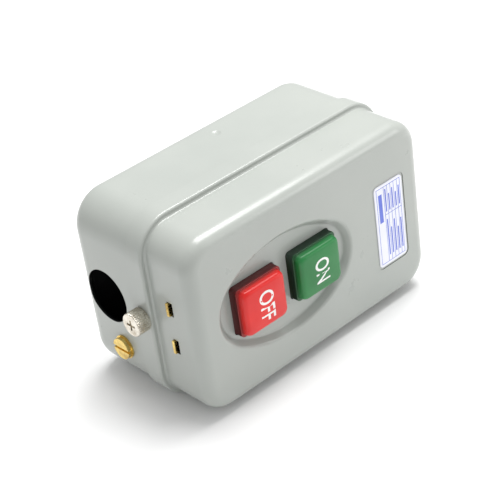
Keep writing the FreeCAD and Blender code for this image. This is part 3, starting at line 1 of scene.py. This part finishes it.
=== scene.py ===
import json
import math
import bmesh
import bpy
import numpy as np
from mathutils import Matrix, Vector


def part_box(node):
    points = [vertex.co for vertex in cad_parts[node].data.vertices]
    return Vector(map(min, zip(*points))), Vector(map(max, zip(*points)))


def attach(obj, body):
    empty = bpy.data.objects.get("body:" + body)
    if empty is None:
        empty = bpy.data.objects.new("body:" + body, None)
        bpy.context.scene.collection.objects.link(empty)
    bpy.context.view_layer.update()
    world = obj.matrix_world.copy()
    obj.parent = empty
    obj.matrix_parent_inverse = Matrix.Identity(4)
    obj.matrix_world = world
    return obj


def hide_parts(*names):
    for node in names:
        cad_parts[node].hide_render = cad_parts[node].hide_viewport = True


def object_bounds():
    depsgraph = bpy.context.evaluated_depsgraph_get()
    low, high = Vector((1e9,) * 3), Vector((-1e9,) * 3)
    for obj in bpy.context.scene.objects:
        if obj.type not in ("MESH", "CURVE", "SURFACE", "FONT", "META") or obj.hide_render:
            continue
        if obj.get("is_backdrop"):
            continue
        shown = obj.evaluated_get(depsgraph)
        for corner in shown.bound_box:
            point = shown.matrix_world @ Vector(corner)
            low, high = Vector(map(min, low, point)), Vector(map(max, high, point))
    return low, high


# Push-button magnetic starter in a grey enamelled steel box, lying on its side.
# Lengths are metres in the part's own frame: +X label end, -Y front, +Z up.

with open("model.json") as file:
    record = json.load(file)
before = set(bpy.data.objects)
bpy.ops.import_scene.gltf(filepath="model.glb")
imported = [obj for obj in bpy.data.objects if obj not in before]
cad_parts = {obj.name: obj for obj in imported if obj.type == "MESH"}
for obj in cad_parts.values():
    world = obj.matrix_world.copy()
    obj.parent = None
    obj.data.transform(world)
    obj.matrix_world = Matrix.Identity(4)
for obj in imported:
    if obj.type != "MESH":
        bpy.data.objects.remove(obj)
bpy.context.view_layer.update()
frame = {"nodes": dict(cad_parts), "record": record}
nodes = frame["nodes"]
mm = 0.001

bpy.context.scene.view_settings.view_transform = "Standard"
print("frame loaded:", len(nodes), "nodes")


# ---- material helpers

def startMaterial(name):
    # an empty principled finish and the object coordinates that every pattern reads
    finish = bpy.data.materials.new(name)
    finish.use_nodes = True
    tree = finish.node_tree
    shader = tree.nodes["Principled BSDF"]
    coords = tree.nodes.new("ShaderNodeTexCoord").outputs["Object"]
    return finish, tree, shader, coords


def addNode(tree, kind, inputs=None, **settings):
    # one shader node; an input is linked when it is a socket and set when it is a value
    node = tree.nodes.new("ShaderNode" + kind)
    for key, value in settings.items():
        setattr(node, key, value)
    for key, value in (inputs or {}).items():
        if isinstance(value, bpy.types.NodeSocket):
            tree.links.new(value, node.inputs[key])
        else:
            node.inputs[key].default_value = value
    return node


def noiseOf(tree, coords, scale, detail=3.0, roughness=0.5, stretch=None):
    # cloudy noise, pulled out along one axis when stretch is given
    if stretch:
        coords = addNode(tree, "Mapping", {"Vector": coords, "Scale": stretch}).outputs[0]
    inputs = {"Vector": coords, "Scale": scale, "Detail": detail, "Roughness": roughness}
    return addNode(tree, "TexNoise", inputs).outputs["Fac"]


def rampOf(tree, amount, stops):
    # stops are (place, colour) pairs; a grey level stands for its colour
    ramp = addNode(tree, "ValToRGB", {"Fac": amount})
    slots = ramp.color_ramp.elements
    while len(slots) < len(stops):
        slots.new(0.5)
    for slot, (place, colour) in zip(slots, stops):
        slot.position = place
        grey = (colour, colour, colour)
        slot.color = (*(colour if isinstance(colour, tuple) else grey), 1.0)
    return ramp.outputs["Color"]


def blendOf(tree, amount, first, second, mode="MIX"):
    # from the first colour to the second as amount goes from 0 to 1
    mix = addNode(tree, "Mix", data_type="RGBA", blend_type=mode)
    factor, start, end = mix.inputs[0], mix.inputs[6], mix.inputs[7]     # the node's colour sockets
    for socket, value in ((factor, amount), (start, first), (end, second)):
        if isinstance(value, bpy.types.NodeSocket):
            tree.links.new(value, socket)
        elif isinstance(value, tuple):
            socket.default_value = (*value, 1.0)
        else:
            socket.default_value = value
    return mix.outputs[2]


def bumpOf(tree, height, strength, distance, under=None):
    # relief whose normals lean by a share of the pattern's slope, over another relief when given
    inputs = {"Height": height, "Strength": strength, "Distance": distance}
    if under is not None:
        inputs["Normal"] = under
    return addNode(tree, "Bump", inputs).outputs["Normal"]


def connect(tree, shader, **sockets):
    # links patterns to the shader's colour, roughness or normal
    names = {"colour": "Base Color", "roughness": "Roughness", "normal": "Normal"}
    for key, value in sockets.items():
        tree.links.new(value, shader.inputs[names[key]])


# ---- finishes

enamel = {
    "light": (0.415, 0.437, 0.408), "shade": (0.385, 0.409, 0.382), "dust": (0.36, 0.38, 0.36),
    "fleckScale": 2300.0, "fleckShare": 0.08, "glossScale": 60.0, "waveStrength": 0.10,
    "cloudScale": 16.0, "peelScale": 850.0, "peelStrength": 0.10, "waveScale": 26.0,
    "gloss": (0.27, 0.38), "coat": 0.35, "coatRoughness": 0.12,
}


def makeEnamel(name, look):
    # stoved enamel: two close greys in large clouds, fine orange peel and a slow wave in the sheet
    finish, tree, shader, coords = startMaterial(name)
    cloud = noiseOf(tree, coords, look["cloudScale"], 4.0)
    tint = rampOf(tree, cloud, [(0.35, look["shade"]), (0.65, look["light"])])
    fleck = rampOf(tree, noiseOf(tree, coords, look["fleckScale"], 2.0), [(0.66, 0.0), (0.74, 1.0)])
    tint = blendOf(tree, rampOf(tree, fleck, [(0.0, 0.0), (1.0, look["fleckShare"])]), tint, look["dust"])
    low, high = look["gloss"]
    rough = rampOf(tree, noiseOf(tree, coords, look["glossScale"], 5.0, 0.6), [(0.3, low), (0.7, high)])
    wave = bumpOf(tree, noiseOf(tree, coords, look["waveScale"], 1.0), look["waveStrength"], 4 * mm)
    grain = noiseOf(tree, coords, look["peelScale"], 2.0)
    peel = bumpOf(tree, grain, look["peelStrength"], 0.2 * mm, wave)
    connect(tree, shader, colour=tint, roughness=rough, normal=peel)
    shader.inputs["Coat Weight"].default_value = look["coat"]
    shader.inputs["Coat Roughness"].default_value = look["coatRoughness"]
    shader.inputs["Specular IOR Level"].default_value = 0.5
    return finish


depthWeight = (1.0, 3.0, 1.0)


def shadedInside(finish, centre, insideShade):
    # surfaces that face the middle of a shell are its inside, and carry a near black colour as painted shade
    tree = finish.node_tree
    shader = tree.nodes["Principled BSDF"]
    colour = shader.inputs["Base Color"].links[0].from_socket
    coords = tree.nodes["Texture Coordinate"].outputs
    out = addNode(tree, "VectorMath", {0: coords["Object"], 1: centre}, operation="SUBTRACT").outputs[0]
    # depth counts more, so that the dish's steep slope still reads as outside
    deep = addNode(tree, "VectorMath", {0: out, 1: depthWeight}, operation="MULTIPLY").outputs[0]
    facing = addNode(tree, "VectorMath", {0: deep, 1: coords["Normal"]}, operation="DOT_PRODUCT")
    share = facing.outputs["Value"]
    outside = addNode(tree, "Math", {0: share, 1: 0.0}, operation="GREATER_THAN").outputs[0]
    connect(tree, shader, colour=blendOf(tree, outside, insideShade, colour))
    return finish


def makeMoulding(name, base, shade, rough=(0.28, 0.4), grain=1400.0, grainStrength=0.08):
    # moulded plastic: a slow flow in the colour and a fine spark texture in the surface
    finish, tree, shader, coords = startMaterial(name)
    flow = noiseOf(tree, coords, 70.0, 3.0, 0.5, (1.0, 0.4, 1.0))
    tint = rampOf(tree, flow, [(0.3, shade), (0.7, base)])
    gloss = rampOf(tree, noiseOf(tree, coords, 240.0, 4.0), [(0.3, rough[0]), (0.7, rough[1])])
    spark = bumpOf(tree, noiseOf(tree, coords, grain, 2.0), grainStrength, 0.2 * mm)
    connect(tree, shader, colour=tint, roughness=gloss, normal=spark)
    return finish


def makeCapMoulding(name, base, shade, foot, footDepth, faceDepth):
    # glossy moulding with painted shade that darkens it towards its foot, and its full colour from the
    # rolled edge outwards
    finish = makeMoulding(name, base, shade, (0.30, 0.40), 1600.0, 0.05)
    tree = finish.node_tree
    shader = tree.nodes["Principled BSDF"]
    colour = shader.inputs["Base Color"].links[0].from_socket
    coords = tree.nodes["Texture Coordinate"].outputs["Object"]
    depth = addNode(tree, "SeparateXYZ", {"Vector": coords}).outputs["Y"]
    spans = {"Value": depth, "From Min": -footDepth, "From Max": -faceDepth}
    rise = addNode(tree, "MapRange", spans, interpolation_type="SMOOTHSTEP").outputs["Result"]
    # painted shade: the foot colour fades into the moulding colour from the foot to the rolled edge
    footShade = blendOf(tree, rise, foot, colour)
    connect(tree, shader, colour=footShade)
    return finish


def makeMetal(name, base, tarnish, rough=(0.18, 0.36), stretch=(1.0, 9.0, 1.0), tarnishAt=0.62):
    # drawn metal: brush lines along one way, and darker tarnish in patches
    finish, tree, shader, coords = startMaterial(name)
    lines = noiseOf(tree, coords, 900.0, 3.0, 0.6, stretch)
    edges = [(tarnishAt - 0.2, 0.0), (tarnishAt + 0.1, 1.0)]
    patch = rampOf(tree, noiseOf(tree, coords, 190.0, 5.0, 0.65), edges)
    tint = blendOf(tree, patch, base, tarnish)
    gloss = rampOf(tree, lines, [(0.25, rough[0]), (0.75, rough[1])])
    brushed = bumpOf(tree, lines, 0.12, 0.1 * mm)
    connect(tree, shader, colour=tint, roughness=gloss, normal=brushed)
    shader.inputs["Metallic"].default_value = 1.0
    return finish


def makeSpangle(name):
    # zinc plate: crystal cells of slightly different greys and gloss
    finish, tree, shader, coords = startMaterial(name)
    cells = addNode(tree, "TexVoronoi", {"Vector": coords, "Scale": 420.0}).outputs["Color"]
    grey = addNode(tree, "RGBToBW", {"Color": cells}).outputs[0]
    tint = rampOf(tree, grey, [(0.2, (0.52, 0.54, 0.56)), (0.8, (0.72, 0.73, 0.72))])
    gloss = rampOf(tree, grey, [(0.2, 0.28), (0.8, 0.46)])
    pits = bumpOf(tree, noiseOf(tree, coords, 1500.0), 0.08, 0.1 * mm)
    connect(tree, shader, colour=tint, roughness=gloss, normal=pits)
    shader.inputs["Metallic"].default_value = 0.9
    return finish


wavesPerScale = 0.31416     # scale of the wave pattern that gives one band in a unit length


def makeBanded(name, base, gap, pitch, axis, metallic):
    # stacked sheets or wound wire: fine bands one pitch apart across one axis
    finish, tree, shader, coords = startMaterial(name)
    perMetre = wavesPerScale / pitch
    inputs = {"Vector": coords, "Scale": perMetre, "Distortion": 0.3, "Detail": 2.0}
    wave = addNode(tree, "TexWave", inputs, bands_direction=axis)
    tint = rampOf(tree, wave.outputs["Fac"], [(0.1, gap), (0.45, base), (1.0, base)])
    tint = blendOf(tree, noiseOf(tree, coords, 160.0), tint, (0.5, 0.5, 0.5), "OVERLAY")
    ribs = bumpOf(tree, wave.outputs["Fac"], 0.5, 0.3 * mm)
    gloss = rampOf(tree, noiseOf(tree, coords, 300.0), [(0.3, 0.3), (0.7, 0.5)])
    connect(tree, shader, colour=tint, roughness=gloss, normal=ribs)
    shader.inputs["Metallic"].default_value = metallic
    return finish


coverDepth = -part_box("cover")[0].y
capSpan = (coverDepth - 0.5 * mm, coverDepth + 2.6 * mm)     # depths where a cap's painted shade is darkest and where it ends
# each set of tones: moulding colour, flow tint, and the painted shade at the cap's foot
redTones = ((0.74, 0.012, 0.008), (0.66, 0.009, 0.007), (0.07, 0.003, 0.003))
greenTones = ((0.012, 0.205, 0.045), (0.009, 0.17, 0.037), (0.004, 0.022, 0.009))
printGrain = (2600.0, 0.05)
semiMatt, inkMatt, matt = (0.3, 0.45), (0.35, 0.45), (0.4, 0.5)
lengthways = (9.0, 1.0, 1.0)     # the brush pattern is squeezed along X, so its lines run round the axis

finishes = {
    "painted_steel": makeEnamel("greyEnamel", enamel),
    "label": makeMoulding("labelFilm", (0.86, 0.87, 0.93), (0.80, 0.81, 0.90), (0.3, 0.4), 2000.0, 0.03),
    "red_cap": makeCapMoulding("redMoulding", *redTones, *capSpan),
    "green_cap": makeCapMoulding("greenMoulding", *greenTones, *capSpan),
    "nickel": makeMetal("nickelPlate", (0.74, 0.70, 0.62), (0.42, 0.36, 0.27), (0.15, 0.34), lengthways),
    "brass": makeMetal("brass", (0.86, 0.64, 0.20), (0.48, 0.31, 0.10), (0.16, 0.34)),
    "zinc_steel": makeSpangle("zincPlate"),
    "spring_steel": makeMetal("springSteel", (0.55, 0.55, 0.56), (0.30, 0.29, 0.28)),
    "black_moulding": makeMoulding("blackPhenolic", (0.022, 0.021, 0.020), (0.012, 0.012, 0.012), semiMatt),
    "cream_moulding": makeMoulding("creamMoulding", (0.72, 0.66, 0.50), (0.62, 0.55, 0.40), (0.35, 0.5)),
    "dark_moulding": makeMoulding("brownPhenolic", (0.07, 0.045, 0.032), (0.045, 0.028, 0.02), (0.32, 0.48)),
    "iron_laminations": makeBanded("ironSheets", (0.36, 0.35, 0.34), (0.08, 0.07, 0.06), 0.0005, "X", 0.9),
    "copper": makeMetal("copper", (0.80, 0.42, 0.28), (0.40, 0.19, 0.12)),
    "coil_wire": makeBanded("enamelledWire", (0.52, 0.17, 0.06), (0.12, 0.03, 0.01), 0.0004, "Y", 0.4),
    "silver_tips": makeMetal("silver", (0.86, 0.85, 0.82), (0.5, 0.48, 0.42)),
    "blue_cap": makeMoulding("blueMoulding", (0.03, 0.10, 0.40), (0.02, 0.07, 0.30)),
    "white_cap": makeMoulding("whiteMoulding", (0.80, 0.79, 0.75), (0.72, 0.70, 0.66)),
    "lead_sleeve": makeMoulding("leadSleeve", (0.05, 0.05, 0.055), (0.03, 0.03, 0.033), (0.4, 0.55)),
    "white_print": makeMoulding("whitePrint", (0.90, 0.90, 0.88), (0.84, 0.84, 0.82), matt, *printGrain),
    "blue_print": makeMoulding("bluePrint", (0.16, 0.22, 0.74), (0.10, 0.15, 0.62), inkMatt, *printGrain),
}

shells = {"back_box": (0.0, -0.025, 0.0), "cover": (0.0, -0.045, 0.0)}     # middle of each shell
# near black painted shade for the inside of each shell
insideShade = (0.012, 0.012, 0.013)

nodeSlots = {part["node"]: part["material_slot"] for part in frame["record"]["subparts"]}
for name, item in nodes.items():
    finish = finishes[nodeSlots[name]]
    if name in shells:
        finish = shadedInside(makeEnamel(name + "Enamel", enamel), shells[name], insideShade)
    item.data.materials.clear()
    item.data.materials.append(finish)
print("finishes made:", len(finishes))


# ---- surface helpers

def newPiece(name, points, faces, finish, smooth=True):
    # a mesh from one array of points and one list of faces, all turned outward
    mesh = bpy.data.meshes.new(name)
    mesh.from_pydata([tuple(p) for p in np.asarray(points, float)], [], faces)
    mesh.validate()
    shell = bmesh.new()
    shell.from_mesh(mesh)
    bmesh.ops.recalc_face_normals(shell, faces=shell.faces)
    shell.to_mesh(mesh)
    shell.free()
    mesh.polygons.foreach_set("use_smooth", [smooth] * len(mesh.polygons))
    mesh.materials.append(finish)
    piece = bpy.data.objects.new(name, mesh)
    bpy.context.scene.collection.objects.link(piece)
    return piece


def gridFaces(rows, columns):
    # quads between neighbouring rows of points; the last column joins the first
    start = np.arange(rows - 1)[:, None] * columns
    here = np.arange(columns)[None, :]
    after = (here + 1) % columns
    quads = [start + here, start + after, start + columns + after, start + columns + here]
    return np.stack(quads, -1).reshape(-1, 4).tolist()


def roundedRing(halfLong, halfWide, radius, perCorner=9, perSide=7):
    # outline of a rounded rectangle, anticlockwise: quarter circles joined by evenly divided sides
    turn = np.linspace(0, np.pi / 2, perCorner)
    ring = []
    for i, (sx, sz) in enumerate(((1, 1), (-1, 1), (-1, -1), (1, -1))):
        centre = np.array([sx * (halfLong - radius), sz * (halfWide - radius)])
        angle = turn + i * np.pi / 2
        ring.append(centre + radius * np.stack([np.cos(angle), np.sin(angle)], -1))
    joined = []
    along = np.linspace(0, 1, perSide + 1)[1:-1, None]
    for i, arc in enumerate(ring):
        nextStart = ring[(i + 1) % 4][0]
        joined += [arc, arc[-1] * (1 - along) + nextStart * along]
    return np.concatenate(joined)


def stackRings(rings, centre):
    # outlines in X and Z at their depths, moved to the centre
    outlines = [np.c_[ring, np.full(len(ring), depth)] for ring, depth in rings]
    stack = np.array(outlines)
    placed = [stack[..., 0] + centre[0], stack[..., 2], stack[..., 1] + centre[1]]
    return np.stack(placed, -1).reshape(-1, 3), len(outlines), stack.shape[1]


# ---- push buttons

labelProud = 0.2 * mm     # the label's face stands this far out of the front plane
legend = {
    "height": 8.6 * mm, "lift": 0.04 * mm, "thick": 0.08 * mm,
    "embolden": 0.012, "curveSteps": 6, "crownReach": 11 * mm,
}
cap = {
    "footLong": 13.5 * mm, "footWide": 12.5 * mm, "footCorner": 2.0 * mm, "footLift": -0.6 * mm,
    "flangeBehind": 5.2 * mm, "flangeThick": 1.3 * mm, "flangeCorner": 2.4 * mm, "flangeChamfer": 0.4 * mm,
    "capInset": 0.5 * mm, "edgeRadius": 2.3 * mm, "cornerRadius": 3.0 * mm, "cornerEase": 0.4,
    "crown": 0.6 * mm, "draft": 0.35 * mm,
    "stepRadius": 0.25 * mm, "stepCorner": 2.2 * mm, "stepGap": 0.02 * mm,
    "faceShares": (0.96, 0.9, 0.8, 0.68, 0.55, 0.42, 0.3, 0.18, 0.08),
}


def makeCap(name, slot, body):
    # one rounded rectangle carried forward: flange, foot, step, drafted side and a rolled quarter circle,
    # then a crowned face that falls off with the square of the distance from its middle
    low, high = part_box(name)
    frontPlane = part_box("label_plate")[0].y + labelProud
    centre = np.array([(low.x + high.x) / 2, (low.z + high.z) / 2])
    foot = (cap["footLong"], cap["footWide"])
    flange = ((high.x - low.x) / 2, (high.z - low.z) / 2)
    flangeFront = frontPlane + cap["flangeBehind"]
    flangeRear = flangeFront + cap["flangeThick"]
    footTop = frontPlane + cap["footLift"]
    side, roll, small = cap["capInset"], cap["edgeRadius"], cap["stepRadius"]
    sideTop = low.y + legend["thick"] + roll + cap["crown"]
    corner, footCorner, flangeCorner = cap["cornerRadius"], cap["footCorner"], cap["flangeCorner"]
    quarter = np.linspace(0, np.pi / 2, 9)
    rings = []

    def addRing(inset, depth, radius, halves=foot):
        rings.append((roundedRing(halves[0] - inset, halves[1] - inset, radius), depth))

    addRing(cap["flangeChamfer"], flangeRear, footCorner, flange)
    addRing(0.0, flangeRear, flangeCorner, flange)
    addRing(0.0, flangeFront, flangeCorner, flange)
    addRing(0.0, flangeFront, footCorner)
    addRing(0.0, footTop + small, footCorner)
    for turn in quarter[::2]:
        addRing(small * (1 - math.cos(turn)), footTop + small * (1 - math.sin(turn)), footCorner)
    addRing(side - cap["stepGap"], footTop, cap["stepCorner"])
    addRing(side, footTop, corner)
    for share in np.linspace(0.06, 1, 5):
        addRing(side + cap["draft"] * share, footTop + (sideTop - footTop) * share, corner)
    for turn in quarter[1:]:
        pulled = roll * (1 - math.cos(turn))
        inset = side + cap["draft"] + pulled
        addRing(inset, sideTop - roll * math.sin(turn), corner + cap["cornerEase"] * pulled)
    last, lastDepth = rings[-1]
    top = lastDepth - cap["crown"]
    rings += [(last * share, top + cap["crown"] * share ** 2) for share in cap["faceShares"]]
    points, rows, count = stackRings(rings, centre)
    tip = len(points)
    points = np.vstack([points, [[centre[0], top, centre[1]]]])
    start = (rows - 1) * count
    faces = gridFaces(rows, count)
    faces += [[start + i, start + (i + 1) % count, tip] for i in range(count)]
    faces.append(list(range(count))[::-1])
    piece = newPiece(name + "Cap", points, faces, finishes[slot])
    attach(piece, body)
    print("cap:", name, "front at", round(top / mm, 2))
    return piece, centre, top


stem = {"half": 4.5 * mm, "edge": 0.5 * mm, "corner": 0.8 * mm, "behindFace": 11.0 * mm}


def makeStem(name, slot, body, centre):
    # square stem behind the cap: one chamfered square carried along the depth
    low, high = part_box(name)
    half, edge = stem["half"], stem["edge"]
    profile = ((half - edge, high.y), (half, high.y - edge), (half, low.y + stem["behindFace"]))
    rings = [(roundedRing(reach, reach, stem["corner"], 4, 3), depth) for reach, depth in profile]
    points, rows, count = stackRings(rings, centre)
    faces = gridFaces(rows, count)
    faces.append(list(range(count))[::-1])
    faces.append(list(range((rows - 1) * count, rows * count)))
    piece = newPiece(name + "Stem", points, faces, finishes[slot])
    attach(piece, body)
    return piece


def makeLegend(name, word, width, centre, top, body):
    # the word's flat outline, stretched to size and laid on the crown's square law;
    # it reads along -Z with its tops to +X
    text = bpy.data.curves.new(name + "Text", "FONT")
    text.body = word
    text.align_x = "CENTER"
    text.offset = legend["embolden"]
    text.resolution_u = legend["curveSteps"]
    holder = bpy.data.objects.new(name + "Text", text)
    bpy.context.scene.collection.objects.link(holder)
    bpy.context.view_layer.update()
    mesh = bpy.data.meshes.new_from_object(holder)
    bpy.data.objects.remove(holder)
    flat = np.zeros(len(mesh.vertices) * 3)
    mesh.vertices.foreach_get("co", flat)
    flat = flat.reshape(-1, 3)
    low, high = flat.min(0), flat.max(0)
    across = (flat[:, 0] - (low[0] + high[0]) / 2) / (high[0] - low[0]) * width
    up = (flat[:, 1] - (low[1] + high[1]) / 2) / (high[1] - low[1]) * legend["height"]
    away = np.hypot(across, up) / legend["crownReach"]
    depth = top + cap["crown"] * away ** 2 - legend["lift"]
    points = np.stack([centre[0] + up, depth, centre[1] - across], -1)
    faces = [list(p.vertices) for p in mesh.polygons]
    bpy.data.meshes.remove(mesh)
    piece = newPiece(name, points, faces, finishes["white_print"], smooth=False)
    wall = piece.modifiers.new("Film", "SOLIDIFY")
    wall.thickness = legend["thick"]
    wall.offset = -1.0
    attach(piece, body)
    return piece


buttons = {
    "off_button": {"slot": "red_cap", "body": "off_push", "word": "OFF", "wordWidth": 15.2 * mm},
    "on_button": {"slot": "green_cap", "body": "on_push", "word": "ON", "wordWidth": 12.2 * mm},
}
for name, look in buttons.items():
    piece, centre, top = makeCap(name, look["slot"], look["body"])
    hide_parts(name)
    makeStem(name, look["slot"], look["body"], centre)
    makeLegend(name + "Word", look["word"], look["wordWidth"], centre, top, look["body"])
print("buttons made")


# ---- knurled rim of the thumb screw

knurl = {
    "teeth": 30, "perTooth": 8, "height": 0.40 * mm, "sharpness": 0.7, "under": 0.15 * mm,
    "round": 0.55 * mm, "endSink": 0.5, "setBack": 0.05 * mm, "length": 6.9 * mm,
}


def makeKnurl():
    # rim radius swells and falls as a rounded ridge once per tooth, and is drawn in at both ends
    low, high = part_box("thumb_screw")
    middle = np.array([(low.y + high.y) / 2, (low.z + high.z) / 2])
    base = (high.z - low.z) / 2
    count = knurl["teeth"] * knurl["perTooth"]
    angle = np.arange(count) / count * 2 * np.pi
    ridge = knurl["height"] * np.abs(np.cos(angle * knurl["teeth"] / 2)) ** knurl["sharpness"]
    front = low.x + knurl["setBack"]
    rear = front + knurl["length"]
    inner = base - knurl["under"]
    radii = [np.full(count, inner)]
    places = [front]
    quarter = np.linspace(0, np.pi / 2, 5)
    for end, turns in ((front, quarter[::-1]), (rear, quarter)):
        for turn in turns:
            sink = knurl["round"] * (1 - math.cos(turn)) * knurl["endSink"]
            share = math.cos(turn) ** 0.5
            radii.append(np.maximum(base - sink * share + ridge * share, inner))
            places.append(end - knurl["round"] * (1 - math.sin(turn)) * (1 if end == rear else -1))
    radii.append(np.full(count, inner))
    places.append(rear)
    radii = np.array(radii)
    x = np.repeat(np.array(places)[:, None], count, 1)
    points = np.stack([x, middle[0] + radii * np.sin(angle), middle[1] + radii * np.cos(angle)], -1)
    faces = gridFaces(len(places), count)
    last = (len(places) - 1) * count
    faces += [[last + i, last + (i + 1) % count, (i + 1) % count, i] for i in range(count)]
    piece = newPiece("thumbKnurl", points.reshape(-1, 3), faces, finishes["nickel"], smooth=True)
    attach(piece, "cover_screw")


makeKnurl()
print("thumb screw knurled")


# ---- label print: plain ruled cells and bars, no lettering

# shares run over the printed area: across its length in X, and up its width in Z
labelPrint = {
    "margin": 1.3 * mm, "line": 0.28 * mm, "lift": 0.02 * mm, "ruleAt": (0.30, 0.44, 0.58, 0.72, 0.86),
    "splitAt": 0.62, "barLengths": (0.30, 0.22, 0.27, 0.19, 0.25), "barThick": 0.05, "barAfter": 0.045,
    "lastAfter": 0.04, "highFrom": 0.66, "lowFrom": 0.08, "lowStretch": 1.6,
    "block": (0.07, 0.22, 0.55, 0.92),
}


def makeLabelPrint(look):
    # flat bars on the plate: a frame, ruled lines, two bars to a row and one solid block
    low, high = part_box("label_plate")
    margin, line = look["margin"], look["line"]
    x0, x1 = low.x + margin, high.x - margin
    z0, z1 = low.z + margin, high.z - margin
    length, width = x1 - x0, z1 - z0
    bars = [
        (x0, x1, z0, z0 + line),
        (x0, x1, z1 - line, z1),
        (x0, x0 + line, z0, z1),
        (x1 - line, x1, z0, z1),
    ]
    for share in look["ruleAt"]:
        at = x0 + length * share
        bars.append((at, at + line, z0, z1))
    split = z0 + look["splitAt"] * width
    bars.append((x0 + look["ruleAt"][0] * length, x1, split, split + line))
    for share, reach in zip(look["ruleAt"], look["barLengths"]):
        after = look["lastAfter"] if share == look["ruleAt"][-1] else look["barAfter"]
        base = x0 + (share + after) * length
        tip = base + look["barThick"] * length
        rows = ((look["highFrom"], reach), (look["lowFrom"], look["lowStretch"] * reach))
        bars += [(base, tip, z0 + start * width, z0 + (start + span) * width) for start, span in rows]
    left, right, bottom, top = look["block"]
    bars.append((x0 + left * length, x0 + right * length, z0 + bottom * width, z0 + top * width))
    a, b, c, d = np.array(bars).T
    y = np.full(len(bars), low.y - look["lift"])
    corners = [np.stack(corner, -1) for corner in ((a, y, c), (b, y, c), (b, y, d), (a, y, d))]
    points = np.stack(corners, 1).reshape(-1, 3)
    faces = np.arange(len(points)).reshape(-1, 4).tolist()
    piece = newPiece("labelBars", points, faces, finishes["blue_print"], smooth=False)
    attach(piece, "front_cover")
    return piece


makeLabelPrint(labelPrint)
print("label printed")


# ---- floor, light and camera

studio = {
    "floorHalf": 1.6, "floorTone": (0.90, 0.93), "floorRoughness": 0.85, "worldLight": 0.58,
    "keyEnergy": 10.0, "keySize": 0.6, "keyPlace": (0.22, 0.02, 0.85),
    "fillEnergy": 0.22, "fillSize": 0.5, "fillPlace": (-0.9, -0.35, 0.45),
    "sideEnergy": 0.55, "sideSize": 0.25, "sidePlace": (0.42, -0.50, 0.20),
}


def makeStudio(look):
    # a pale floor under the lowest point, an even white surround and three square lamps aimed at the origin
    half = look["floorHalf"]
    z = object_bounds()[0][2]
    dark, light = look["floorTone"]
    finish, tree, shader, coords = startMaterial("paperFloor")
    tone = rampOf(tree, noiseOf(tree, coords, 7.0, 2.0), [(0.3, dark), (0.7, light)])
    connect(tree, shader, colour=tone)
    shader.inputs["Roughness"].default_value = look["floorRoughness"]
    corners = [(-half, -half, z), (half, -half, z), (half, half, z), (-half, half, z)]
    floor = newPiece("floor", corners, [[0, 1, 2, 3]], finish, smooth=False)
    floor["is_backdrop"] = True
    world = bpy.data.worlds.new("studioWorld")
    world.use_nodes = True
    background = world.node_tree.nodes["Background"]
    background.inputs["Color"].default_value = (1, 1, 1, 1)
    background.inputs["Strength"].default_value = look["worldLight"]
    bpy.context.scene.world = world
    for name in ("key", "fill", "side"):
        lamp = bpy.data.lights.new(name, "AREA")
        lamp.energy = look[name + "Energy"]
        lamp.size = look[name + "Size"]
        holder = bpy.data.objects.new(name, lamp)
        place = Vector(look[name + "Place"])
        holder.location = place
        holder.rotation_euler = (-place).to_track_quat("-Z", "Y").to_euler()
        bpy.context.scene.collection.objects.link(holder)


camera = {
    "place": (-0.39834, -0.52623, 0.38786), "target": (0.00944, -0.02250, -0.01841),
    "roll": 8.37, "lens": 112.63, "sensor": 36.0,
}


def makeCamera(look):
    # aimed at the target, then turned about its own axis by the roll
    eye = bpy.data.cameras.new("camera")
    eye.lens = look["lens"]
    eye.sensor_width = look["sensor"]
    holder = bpy.data.objects.new("camera", eye)
    place = Vector(look["place"])
    aim = (Vector(look["target"]) - place).to_track_quat("-Z", "Y").to_matrix()
    turn = Matrix.Rotation(math.radians(-look["roll"]), 3, "Z")
    holder.matrix_world = Matrix.Translation(place) @ (aim @ turn).to_4x4()
    bpy.context.scene.collection.objects.link(holder)
    bpy.context.scene.camera = holder


makeStudio(studio)
makeCamera(camera)
print("studio set")
